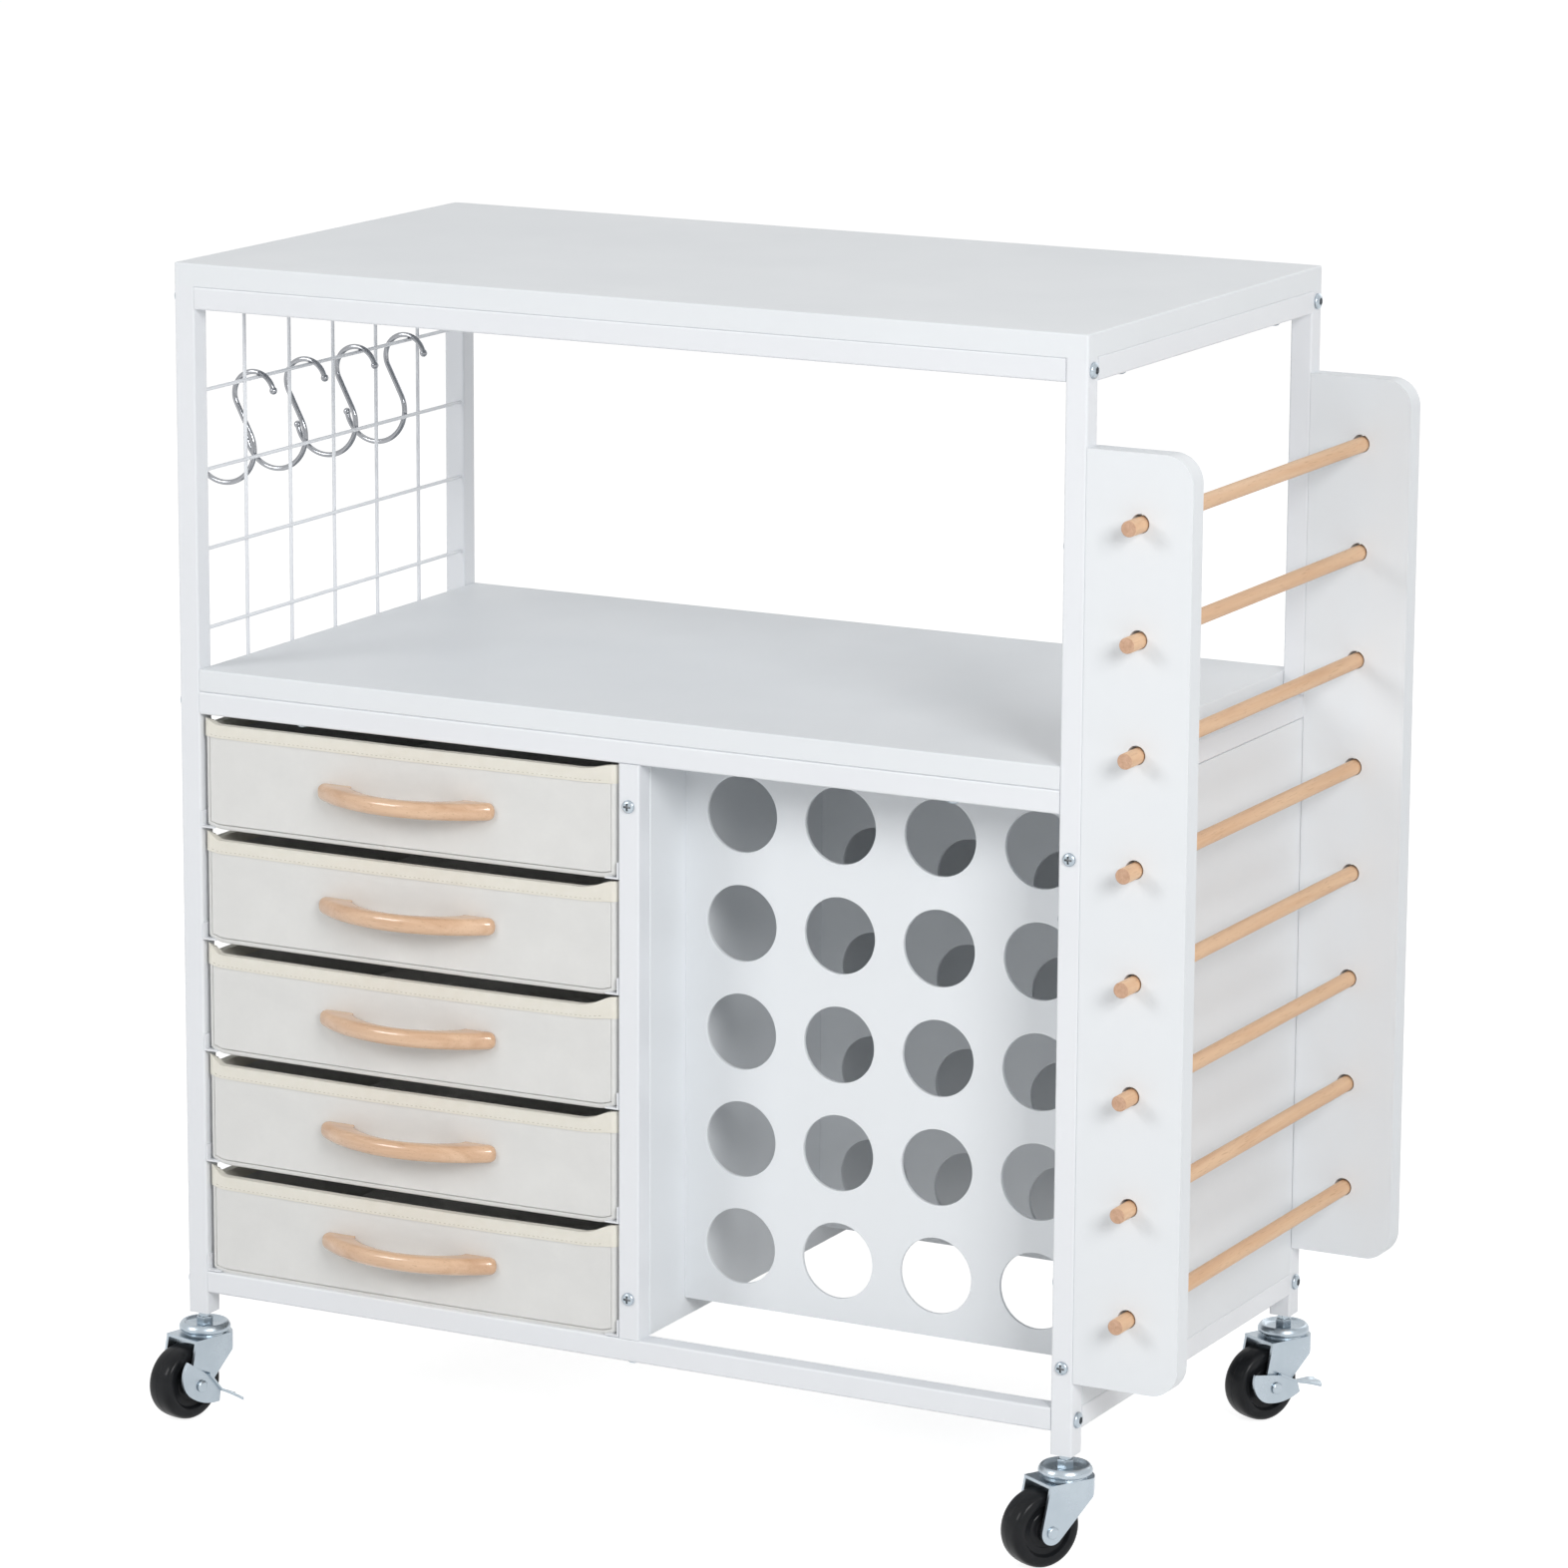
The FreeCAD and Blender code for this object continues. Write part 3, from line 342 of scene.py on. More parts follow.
def makeWoodGroup():
    # long streaks and pores; the grain runs along X of Place
    tree, into, out = newGroup("woodGrain", [
        ("Place", vectorSocket, None),
        ("Early wood", colourSocket, (0.8, 0.5, 0.3, 1)),
        ("Late wood", colourSocket, (0.6, 0.35, 0.2, 1)),
        ("Pores", colourSocket, (0.4, 0.2, 0.1, 1)),
        ("Streaks", floatSocket, 60.0),
    ], [("Colour", colourSocket), ("Height", floatSocket)])
    stretch = node(tree, "ShaderNodeMapping", -750, 100)
    stretch.inputs["Scale"].default_value = (0.06, 1, 1)
    link(into.outputs["Place"], stretch.inputs["Vector"])
    streak = node(tree, "ShaderNodeTexNoise", -500, 200, Detail=5.0, Roughness=0.6, Distortion=0.6)
    link(stretch.outputs["Vector"], streak.inputs["Vector"])
    link(into.outputs["Streaks"], streak.inputs["Scale"])
    spread = mapRange(tree, -250, 200, streak.outputs["Fac"], 0.35, 0.68)
    ground = mixColour(tree, 0, 200, spread,
                       into.outputs["Early wood"], into.outputs["Late wood"])
    pore = node(tree, "ShaderNodeTexNoise", -500, -150, Scale=1500.0, Detail=1.0)
    link(stretch.outputs["Vector"], pore.inputs["Vector"])
    dots = mapRange(tree, -250, -150, pore.outputs["Fac"], 0.62, 0.74, 0.55)
    colour = mixColour(tree, 300, 200, dots, ground, into.outputs["Pores"])
    link(colour, out.inputs["Colour"])
    link(dots, out.inputs["Height"])
    return tree


def makeWeaveGroup():
    # plain weave: over and under threads with a little slub, read from the piece's UV map
    tree, into, out = newGroup("plainWeave", [
        ("Place", vectorSocket, None),
        ("Threads", floatSocket, 1200.0),
        ("Slub", floatSocket, 0.35),
    ], [("Height", floatSocket), ("Shade", floatSocket)])
    waves = []
    for index, direction in enumerate(("X", "Y")):
        wave = node(tree, "ShaderNodeTexWave", -550, 250 - 350 * index, wave_type="BANDS",
                    bands_direction=direction, wave_profile="SIN", Distortion=0.6, Detail=1.0)
        wave.inputs["Detail Scale"].default_value = 0.4
        link(into.outputs["Place"], wave.inputs["Vector"])
        link(into.outputs["Threads"], wave.inputs["Scale"])
        waves.append(wave.outputs["Fac"])
    check = node(tree, "ShaderNodeMath", -250, 50, operation="MULTIPLY")
    link(waves[0], check.inputs[0])
    link(waves[1], check.inputs[1])
    slub = node(tree, "ShaderNodeTexNoise", -550, -450, Scale=260.0, Detail=3.0, Roughness=0.65)
    link(into.outputs["Place"], slub.inputs["Vector"])
    amount = node(tree, "ShaderNodeMath", -250, -350, operation="MULTIPLY")
    link(slub.outputs["Fac"], amount.inputs[0])
    link(into.outputs["Slub"], amount.inputs[1])
    total = node(tree, "ShaderNodeMath", 50, -100, operation="ADD")
    link(check.outputs[0], total.inputs[0])
    link(amount.outputs[0], total.inputs[1])
    link(total.outputs[0], out.inputs["Height"])
    link(slub.outputs["Fac"], out.inputs["Shade"])
    return tree


toneClouds = makeCloudGroup()
fineGrain = makeGrainGroup()
woodGrain = makeWoodGroup()
plainWeave = makeWeaveGroup()


def objectPlace(tree, degrees=0):
    # object coordinates, turned about Z where the grain has to run along Y
    source = node(tree, "ShaderNodeTexCoord", -1300, 0)
    mapping = node(tree, "ShaderNodeMapping", -1100, 0)
    mapping.inputs["Rotation"].default_value = (0, 0, math.radians(degrees))
    link(source.outputs["Object"], mapping.inputs["Vector"])
    return mapping.outputs["Vector"]


def grainyMaterial(name, look):
    # painted, moulded, laminated and plated surfaces: tone patches over a fine skin
    material, tree, shader = newMaterial(name)
    place = objectPlace(tree)
    clouds = placeGroup(tree, toneClouds, -600, 200, **{
        "Tone": look["tone"], "Other tone": look["otherTone"], "Patches": look["patches"],
        "Smoothest": look["roughness"][0], "Roughest": look["roughness"][1]})
    grain = placeGroup(tree, fineGrain, -600, -200, **{
        "Grains": look["grains"], "Depth": look["depth"], "Strength": look["strength"]})
    link(place, clouds.inputs["Place"])
    link(place, grain.inputs["Place"])
    link(clouds.outputs["Colour"], shader.inputs["Base Color"])
    link(clouds.outputs["Roughness"], shader.inputs["Roughness"])
    link(grain.outputs["Normal"], shader.inputs["Normal"])
    shader.inputs["Metallic"].default_value = look.get("metallic", 0)
    shader.inputs["Coat Weight"].default_value = look.get("coat", 0)
    shader.inputs["Coat Roughness"].default_value = look.get("coatRoughness", 0.1)
    shader.inputs["Specular IOR Level"].default_value = look.get("specular", 0.5)
    return material


framePaintLook = {
    "tone": (0.815, 0.835, 0.865, 1), "otherTone": (0.80, 0.82, 0.85, 1), "patches": 14.0,
    "roughness": (0.30, 0.40), "grains": 750.0, "depth": 0.00012, "strength": 0.25,
    "coat": 0.12, "coatRoughness": 0.2,
}
boardLook = {
    "tone": (0.805, 0.832, 0.857, 1), "otherTone": (0.79, 0.817, 0.842, 1), "patches": 9.0,
    "roughness": (0.42, 0.52), "grains": 1300.0, "depth": 0.00008, "strength": 0.3,
}
zincLook = {
    "tone": (0.46, 0.52, 0.57, 1), "otherTone": (0.41, 0.47, 0.52, 1), "patches": 45.0,
    "roughness": (0.24, 0.34), "grains": 1500.0, "depth": 0.00002, "strength": 0.25,
    "metallic": 1.0,
}
chromeLook = {
    "tone": (0.36, 0.37, 0.39, 1), "otherTone": (0.30, 0.31, 0.33, 1), "patches": 60.0,
    "roughness": (0.08, 0.16), "grains": 900.0, "depth": 0.00003, "strength": 0.2,
    "metallic": 1.0,
}
# painted shade: this darker tone stands in for the shade inside the screw slots and bolt sockets
recessShadeLook = {
    "tone": (0.26, 0.275, 0.29, 1), "otherTone": (0.31, 0.325, 0.34, 1), "patches": 200.0,
    "roughness": (0.4, 0.6), "grains": 1500.0, "depth": 0.00004, "strength": 0.3, "metallic": 1.0,
}
wheelLook = {
    "tone": (0.010, 0.011, 0.0125, 1), "otherTone": (0.015, 0.016, 0.018, 1), "patches": 90.0,
    "roughness": (0.30, 0.42), "grains": 1800.0, "depth": 0.00004, "strength": 0.3,
    "specular": 0.08, "coat": 0.14, "coatRoughness": 0.07,
}
insertLook = {
    "tone": (0.06, 0.06, 0.065, 1), "otherTone": (0.08, 0.08, 0.085, 1), "patches": 120.0,
    "roughness": (0.45, 0.6), "grains": 1400.0, "depth": 0.00006, "strength": 0.3,
}
clothSkin = {"roughness": (0.82, 0.95), "bump": 0.55, "sheenRoughness": 0.5, "specular": 0.25}
fabricLook = {
    "tone": (0.87, 0.87, 0.85, 1), "otherTone": (0.83, 0.83, 0.812, 1), "patches": 40.0,
    "threads": 1100.0, "slub": 0.5, "depth": 0.00022, "sheen": 0.25,
}
bindingLook = {
    "tone": (0.93, 0.905, 0.82, 1), "otherTone": (0.90, 0.87, 0.775, 1), "patches": 120.0,
    "threads": 1500.0, "slub": 0.6, "depth": 0.00020, "sheen": 0.2,
}
stitchLook = {
    "tone": (0.70, 0.66, 0.56, 1), "otherTone": (0.60, 0.57, 0.48, 1), "patches": 900.0,
    "threads": 2500.0, "slub": 0.3, "depth": 0.00015, "sheen": 0.1,
}
woodSkin = {"bump": 0.25, "depth": 0.00008, "coatRoughness": 0.08}
handleWoodLook = {
    "early": (0.745, 0.495, 0.315, 1), "late": (0.59, 0.345, 0.195, 1),
    "pores": (0.46, 0.26, 0.14, 1),
    "streaks": 95.0, "grainAlong": "X", "roughness": 0.30, "coat": 1.0,
}
dowelWoodLook = {
    "early": (0.80, 0.54, 0.34, 1), "late": (0.71, 0.44, 0.26, 1), "pores": (0.52, 0.30, 0.17, 1),
    "streaks": 140.0, "grainAlong": "Y", "roughness": 0.55, "coat": 0.0,
}
dowelEndLook = {
    "early": (0.64, 0.41, 0.28, 1), "late": (0.52, 0.31, 0.20, 1), "pores": (0.38, 0.21, 0.12, 1),
    "streaks": 420.0, "grainAlong": "Y", "roughness": 0.75, "coat": 0.0,
}


def clothMaterial(name, look):
    material, tree, shader = newMaterial(name)
    source = node(tree, "ShaderNodeTexCoord", -1300, 0)
    weave = placeGroup(tree, plainWeave, -700, -150, Threads=look["threads"], Slub=look["slub"])
    clouds = placeGroup(tree, toneClouds, -700, 250, **{
        "Tone": look["tone"], "Other tone": look["otherTone"], "Patches": look["patches"],
        "Smoothest": clothSkin["roughness"][0], "Roughest": clothSkin["roughness"][1]})
    link(source.outputs["UV"], weave.inputs["Place"])
    link(source.outputs["UV"], clouds.inputs["Place"])
    shade = mapRange(tree, -450, -250, weave.outputs["Shade"], 0.35, 0.7, 0.35)
    colour = mixColour(tree, -250, 200, shade, clouds.outputs["Colour"], look["otherTone"])
    bump = node(tree, "ShaderNodeBump", -250, -150, Strength=clothSkin["bump"],
                Distance=look["depth"])
    link(weave.outputs["Height"], bump.inputs["Height"])
    link(colour, shader.inputs["Base Color"])
    link(clouds.outputs["Roughness"], shader.inputs["Roughness"])
    link(bump.outputs["Normal"], shader.inputs["Normal"])
    shader.inputs["Sheen Weight"].default_value = look["sheen"]
    shader.inputs["Sheen Roughness"].default_value = clothSkin["sheenRoughness"]
    shader.inputs["Specular IOR Level"].default_value = clothSkin["specular"]
    return material


def woodMaterial(name, look):
    material, tree, shader = newMaterial(name)
    place = objectPlace(tree, 90 if look["grainAlong"] == "Y" else 0)
    grain = placeGroup(tree, woodGrain, -600, 100, **{
        "Early wood": look["early"], "Late wood": look["late"], "Pores": look["pores"],
        "Streaks": look["streaks"]})
    link(place, grain.inputs["Place"])
    bump = node(tree, "ShaderNodeBump", -250, -150, Strength=woodSkin["bump"],
                Distance=woodSkin["depth"], invert=True)
    link(grain.outputs["Height"], bump.inputs["Height"])
    link(grain.outputs["Colour"], shader.inputs["Base Color"])
    link(bump.outputs["Normal"], shader.inputs["Normal"])
    shader.inputs["Roughness"].default_value = look["roughness"]
    shader.inputs["Coat Weight"].default_value = look["coat"]
    shader.inputs["Coat Roughness"].default_value = woodSkin["coatRoughness"]
    return material


framePaint = grainyMaterial("framePaint", framePaintLook)
boardWhite = grainyMaterial("boardWhite", boardLook)
zincSteel = grainyMaterial("zincSteel", zincLook)
hookChrome = grainyMaterial("hookChrome", chromeLook)
# painted shade for the recesses of screws and bolts
recessDark = grainyMaterial("recessDark", recessShadeLook)
wheelBlack = grainyMaterial("wheelBlack", wheelLook)
insertPlastic = grainyMaterial("insertPlastic", insertLook)
drawerFabric = clothMaterial("drawerFabric", fabricLook)
bindingTape = clothMaterial("bindingTape", bindingLook)
stitchThread = clothMaterial("stitchThread", stitchLook)
handleWood = woodMaterial("handleWood", handleWoodLook)
dowelWood = woodMaterial("dowelWood", dowelWoodLook)
dowelEnd = woodMaterial("dowelEnd", dowelEndLook)
print("finishes made")


def dress(piece, material):
    piece.data.materials.clear()
    piece.data.materials.append(material)
    return piece


# every CAD node gets its finish from its material slot
slotFinish = {
    "frame_paint": framePaint, "board_white": boardWhite, "zinc_steel": zincSteel,
    "hook_chrome": hookChrome, "wheel_black": wheelBlack, "insert_plastic": insertPlastic,
    "drawer_fabric": drawerFabric, "handle_wood": handleWood, "dowel_wood": dowelWood,
}
for part in frame["record"]["subparts"]:
    dress(nodes[part["node"]], slotFinish[part["material_slot"]])
print("CAD nodes dressed")

# drawers: a cloth-covered box with sewn edges, a bound rim that rises at the corners,
# stitches along the binding and a loose stiff base
drawerCut = {
    "corner": 3.2 * mm, "wall": 4 * mm, "bottomEdge": 2.2 * mm, "seam": 3.3 * mm,
    "seamDepth": 2.0 * mm, "bindingHeight": 8.0 * mm, "bindingThick": 0.75 * mm,
    "cornerRise": 1.4 * mm, "leftReach": 10 * mm, "rightReach": 24 * mm, "crown": 1.0 * mm,
    "sideCrown": 0.5 * mm, "wave": 0.35 * mm, "waveSize": 14.0,
    "baseThick": 2.5 * mm, "baseGap": 1.2 * mm, "baseEase": 0.9 * mm, "tapeEase": 0.35 * mm,
    "proud": 0.5 * mm,
}
# where the cloth is cut into a finer mesh, in mm: from each end, up from the floor, about the
# binding's lower line and evenly between the ends
clothLines = {
    "seam": (-0.5, 0, 0.5), "near": (6, 8, 10, 13, 17, 24, 34), "up": (9, 20, 32, 44),
    "aboutLine": (-6, 0, 4, 8), "alongX": 18, "alongY": 20, "baseNear": 34, "baseStep": 30,
}
# how the cloth hangs: shares of a drawer's slack, and the lengths over which a form dies away
drape = {
    "endBelly": 0.85, "seamShare": 0.7, "riseFrom": 0.45, "floorUpTo": 0.3, "floorEnds": 0.8,
    "edgeReach": 12 * mm, "calmReach": 20 * mm, "upWave": 0.6, "apart": 3.7,
}
# without a seed the waves would differ a little from run to run
noise.seed_set(5)
# how far each drawer's rim and bottom hang between its corners, top drawer first
slack = [
    {"rim": 3.1 * mm, "bottom": 2.6 * mm}, {"rim": 5.2 * mm, "bottom": 3.6 * mm},
    {"rim": 7.0 * mm, "bottom": 3.4 * mm}, {"rim": 6.6 * mm, "bottom": 3.7 * mm},
    {"rim": 7.1 * mm, "bottom": 3.2 * mm},
]
stitch = {"length": 2.3 * mm, "thick": 0.42 * mm, "pitch": 3.5 * mm, "aboveEdge": 1.6 * mm}


def smoothStep(low, high, value):
    share = min(max((value - low) / (high - low), 0), 1)
    return share * share * (3 - 2 * share)


def cutPlanes(piece, axis, places):
    editMesh(piece)
    normal = [0, 0, 0]
    normal[axis] = 1
    for place in places:
        point = [0, 0, 0]
        point[axis] = place
        bpy.ops.mesh.select_all(action="SELECT")
        bpy.ops.mesh.bisect(plane_co=point, plane_no=normal)
    leaveEdit()


def nearAndFar(low, high, nearSteps, step):
    # cut places that are close together near both ends and even between them
    places = [low + near for near in nearSteps] + [high - near for near in nearSteps]
    start, end = low + nearSteps[-1], high - nearSteps[-1]
    count = max(int((end - start) / step), 1)
    return places + [start + (end - start) * index / count for index in range(1, count)]


def drawerShell(name, width, depth, height):
    cut = drawerCut
    shell = block(name, (-width / 2, 0, 0), (width / 2, depth, height))
    mesh = editMesh(shell)
    selectMode("faces")
    pick(mesh, lambda face: face.normal.z > 0.9)
    bpy.ops.mesh.delete(type="FACE")
    mesh = bmesh.from_edit_mesh(shell.data)
    selectMode("edges")
    pick(mesh, lambda edge: abs(edge.verts[0].co.z - edge.verts[1].co.z) > height / 2, "edges")
    bpy.ops.mesh.bevel(offset=cut["corner"], segments=5, affect="EDGES")
    mesh = bmesh.from_edit_mesh(shell.data)
    pick(mesh, lambda edge: max(v.co.z for v in edge.verts) < 1e-6
         and any(abs(face.normal.z) < 0.5 for face in edge.link_faces), "edges")
    bpy.ops.mesh.bevel(offset=cut["bottomEdge"], segments=3, affect="EDGES")
    leaveEdit()
    lines = clothLines
    seam = [cut["seam"] + step * mm for step in lines["seam"]]
    near = seam + [step * mm for step in lines["near"]]
    cutPlanes(shell, 0, nearAndFar(-width / 2, width / 2, near, lines["alongX"] * mm))
    cutPlanes(shell, 1, nearAndFar(0, depth, near, lines["alongY"] * mm))
    line = height - cut["bindingHeight"]
    cutPlanes(shell, 2, seam + [step * mm for step in lines["up"]]
              + [line + step * mm for step in lines["aboutLine"]])
    return shell


def bindingFrom(shell, name, height):
    # the rim's faces are copied off the shell, and thickened over both sides of the wall
    mesh = editMesh(shell)
    selectMode("faces")
    line = height - drawerCut["bindingHeight"]
    pick(mesh, lambda face: min(v.co.z for v in face.verts) > line - 1e-6)
    bpy.ops.mesh.duplicate()
    bpy.ops.mesh.separate(type="SELECTED")
    leaveEdit()
    tape = next(o for o in bpy.context.selected_objects if o is not shell)
    tape.name = name
    tape.data.name = name
    thick = drawerCut["bindingThick"]
    editMesh(tape)
    bpy.ops.mesh.select_all(action="SELECT")
    bpy.ops.transform.shrink_fatten(value=thick)
    leaveEdit()
    addModifier(tape, "SOLIDIFY", thickness=drawerCut["wall"] + 2 * thick, offset=-1,
                use_even_offset=True)
    applyModifiers(tape)
    for vert in tape.data.vertices:
        if vert.co.z > height - 1e-6:
            vert.co.z += thick
    return tape


def stitchRow(name, width, depth, height):
    # one stitch is shaped, then arrayed along each side of the box
    size = stitch
    z = height - drawerCut["bindingHeight"] + size["aboveEdge"]
    out = drawerCut["bindingThick"]
    inset = drawerCut["corner"] + 2 * mm
    rows = []
    sides = (
        (Vector((-width / 2 + inset, -out, z)), 0, width - 2 * inset),
        (Vector((-width / 2 + inset, depth + out, z)), 0, width - 2 * inset),
        (Vector((-width / 2 - out, inset, z)), 1, depth - 2 * inset),
        (Vector((width / 2 + out, inset, z)), 1, depth - 2 * inset),
    )
    for index, (start, axis, run) in enumerate(sides):
        scale = [size["thick"] / 2] * 3
        scale[axis] = size["length"] / 2
        bpy.ops.object.select_all(action="DESELECT")
        bpy.ops.mesh.primitive_uv_sphere_add(
            segments=6, ring_count=4, radius=1, location=start, scale=scale)
        row = settle("%s_row_%d" % (name, index))
        spacing = [0, 0, 0]
        spacing[axis] = size["pitch"]
        addModifier(row, "ARRAY", use_relative_offset=False, use_constant_offset=True,
                    constant_offset_displace=spacing, count=int(run / size["pitch"]))
        applyModifiers(row)
        rows.append(row)
    return joined(name, rows)


def pressSeams(shell, width, height):
    # sewn lines on the front: near both side edges and near the bottom
    seam, near = drawerCut["seam"], 0.1 * mm
    for vert in shell.data.vertices:
        x, y, z = vert.co
        if y < drawerCut["corner"] and vert.normal.y < -0.3:
            side = width / 2 - abs(x)
            onSide = abs(side - seam) < near and z > seam - near
            onBottom = abs(z - seam) < near and side > seam - near
            if onSide or onBottom:
                vert.co.y += drawerCut["seamDepth"]


def relax(point, width, depth, height, number):
    # where cloth over a board really lies: crowned front, raised corners, slack rim, slight waves
    cut, hang = drawerCut, slack[number - 1]
    x, y, z = point
    side = width / 2 - abs(x)
    end = min(y, depth - y)
    fromCorner = max(side, end)
    line = height - cut["bindingHeight"]
    loose = smoothStep(0, cut["leftReach"] if x < 0 else cut["rightReach"], fromCorner)
    along = math.cos(math.pi * x / width) if end < side else math.sin(math.pi * y / depth)
    belly = drape["endBelly"] + (1 - drape["endBelly"]) * max(along, 0)
    rim = cut["cornerRise"] * (1 - loose) - hang["rim"] * loose * belly
    seam = -hang["rim"] * (drape["seamShare"] + (1 - drape["seamShare"]) * loose) * belly
    up = smoothStep(height * drape["riseFrom"], line, z)
    lift = up * (seam + (rim - seam) * smoothStep(line, height, z))
    level = 4 * z * max(height - z, 0) / height ** 2
    nearEnd = 1 - smoothStep(0, drape["edgeReach"], end)
    nearSide = 1 - smoothStep(0, drape["edgeReach"], side)
    across = max(math.cos(math.pi * x / width), 0)
    outY = -cut["crown"] * level * across * nearEnd * (1 if y < depth / 2 else -1)
    outX = cut["sideCrown"] * level * math.sin(math.pi * y / depth) * nearSide
    shift = Vector((number, number, number)) * drape["apart"]
    wave = noise.noise_vector(Vector((x, y, z)) * cut["waveSize"] + shift)
    calm = cut["wave"] * min(fromCorner / drape["calmReach"], 1)
    floor = -hang["bottom"] * (1 - smoothStep(0, height * drape["floorUpTo"], z))
    floor *= drape["floorEnds"] + (1 - drape["floorEnds"]) * across
    return Vector((
        x + outX * (1 if x > 0 else -1) + wave.x * calm * nearSide,
        y + outY + wave.y * calm * nearEnd,
        z + lift + wave.z * calm * up * drape["upWave"] + floor * (1 - nearSide),
    ))


def unwrap(piece):
    # square projection in metres, so that the weave has its real size
    editMesh(piece)
    bpy.ops.mesh.select_all(action="SELECT")
    bpy.ops.uv.cube_project(cube_size=1.0)
    leaveEdit()


def makeDrawers():
    low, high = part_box("drawer_1")
    proud = drawerCut["proud"]
    width = high.x - low.x - 2 * proud
    depth = high.y - low.y - 2 * proud
    height = high.z - low.z
    shell = drawerShell("drawer_cloth", width, depth, height)
    tape = bindingFrom(shell, "drawer_binding", height)
    addModifier(shell, "SOLIDIFY", thickness=drawerCut["wall"], offset=-1, use_even_offset=True)
    applyModifiers(shell)
    pressSeams(shell, width, height)
    threads = stitchRow("drawer_stitches", width, depth, height)
    gap = drawerCut["wall"] + drawerCut["baseGap"]
    base = block("drawer_base", (-width / 2 + gap, gap, drawerCut["wall"]),
                 (width / 2 - gap, depth - gap, drawerCut["wall"] + drawerCut["baseThick"]))
    near, step = [clothLines["baseNear"] * mm], clothLines["baseStep"] * mm
    cutPlanes(base, 0, nearAndFar(-width / 2, width / 2, near, step))
    cutPlanes(base, 1, nearAndFar(0, depth, near, step))
    kinds = ((shell, drawerFabric), (tape, bindingTape), (threads, stitchThread),
             (base, drawerFabric))
    for piece, finish in kinds:
        outward(piece)
        unwrap(piece)
        dress(piece, finish)
    rounded(base, drawerCut["baseEase"], 2, 60)
    patterns = [piece for piece, finish in kinds]
    for number in range(1, 6):
        name = "drawer_%d" % number
        low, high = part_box(name)
        move = Vector(((low.x + high.x) / 2, low.y + proud, low.z))
        for piece in patterns:
            twin = copied(piece, piece.name.replace("drawer", name))
            for vert in twin.data.vertices:
                vert.co = relax(vert.co, width, depth, height, number) + move
            if piece is tape:
                rounded(twin, drawerCut["tapeEase"], 2, 50)
            smooth(twin, 40)
            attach(twin, name)
            if piece is shell:
                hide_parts(name)
    for piece in patterns:
        bpy.data.objects.remove(piece)
    print("drawers sewn")


# handles: sanded wooden grips, and the two screws that hold each from inside the drawer
handleScrew = {"apart": 107 * mm, "head": (4.2 * mm, 2.2 * mm), "washerRadius": 6 * mm,
               "washerHole": 2.2 * mm, "washer": 0.8 * mm}
sanding = {"grain": 0.7 * mm, "passes": 16}


def makeHandles():
    size = handleScrew
    hole, edge, thick = size["washerHole"], size["washerRadius"], size["washer"]
    ring = [(hole, 0), (edge, 0), (edge, thick), (hole, thick), (hole, 0)]
    for number in range(1, 6):
        low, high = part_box("handle_%d" % number)
        middle = (low + high) / 2
        wood = copied(nodes["handle_%d" % number], "handle_%d_sanded" % number)
        addModifier(wood, "REMESH", mode="VOXEL", voxel_size=sanding["grain"])
        addModifier(wood, "SMOOTH", factor=0.5, iterations=sanding["passes"])
        applyModifiers(wood)
        smooth(wood, 60)
        mounted(wood, "drawer_%d" % number, handleWood, "handle_%d" % number)
        inside = high.y + drawerCut["wall"]
        held = []
        for side in (-1, 1):
            place = Vector((middle.x + side * size["apart"] / 2, inside, middle.z))
            washer = dress(turned("washer", ring, 32, True), zincSteel)
            held.append(stand(washer, place, (0, 1, 0)))
            head = crossHead("screw", *size["head"])
            held.append(stand(head, place + Vector((0, thick, 0)), (0, 1, 0)))
        screws = joined("handle_%d_screws" % number, held)
        mounted(screws, "drawer_%d" % number, None)
    print("handles screwed on")


# screws and bolts: domed heads, cross or hexagon recess, and a plain shank
domeShape = {"steps": 9, "seat": 0.96, "rim": 0.1, "shoulder": 0.25, "fullness": 0.8}
crossHeadSize = {"slotLong": 0.6, "slotWide": 0.16, "deep": 0.7}
hexHeadSize = {"acrossFlats": 4.4 * mm, "deep": 0.7}


def domedHead(name, radius, height):
    shape = domeShape
    low = shape["shoulder"]
    profile = [(radius * shape["seat"], 0), (radius, height * shape["rim"])]
    for step in range(1, shape["steps"]):
        angle = math.radians(90 * step / shape["steps"])
        profile.append((radius * math.cos(angle) ** shape["fullness"],
                        height * (low + (1 - low) * math.sin(angle))))
    return turned(name, profile, 40)


def hexPrism(name, acrossFlats, low, high, turn=0):
    bpy.ops.object.select_all(action="DESELECT")
    bpy.ops.mesh.primitive_cylinder_add(
        vertices=6, radius=acrossFlats / math.sqrt(3), depth=high - low,
        rotation=(0, 0, turn), location=(0, 0, (high + low) / 2))
    return settle(name)


def cutFrom(piece, cutter):
    # the cut faces keep the cutter's material, so a recess can carry a darker material than its
    # head, as painted shade
    addModifier(piece, "BOOLEAN", operation="DIFFERENCE", object=cutter, solver="EXACT",
                material_mode="TRANSFER")
    applyModifiers(piece)
    bpy.data.objects.remove(cutter)
    return piece


def crossHead(name, radius, height):
    head = dress(domedHead(name, radius, height), zincSteel)
    long, wide = radius * crossHeadSize["slotLong"], radius * crossHeadSize["slotWide"]
    low = height * (1 - crossHeadSize["deep"])
    for size in ((long, wide), (wide, long)):
        slot = block("slot", (-size[0], -size[1], low), (size[0], size[1], height * 1.2))
        # the slots are cut with the darker finish: painted shade in the cross
        cutFrom(head, dress(slot, recessDark))
    smooth(head, 32)
    return head


def hexHead(name, radius, height):
    head = dress(domedHead(name, radius, height), zincSteel)
    low = height * (1 - hexHeadSize["deep"])
    socket = hexPrism("socket", hexHeadSize["acrossFlats"], low, low + height)
    # the socket is cut with the darker finish: painted shade in the hexagon
    cutFrom(head, dress(socket, recessDark))
    smooth(head, 32)
    return head


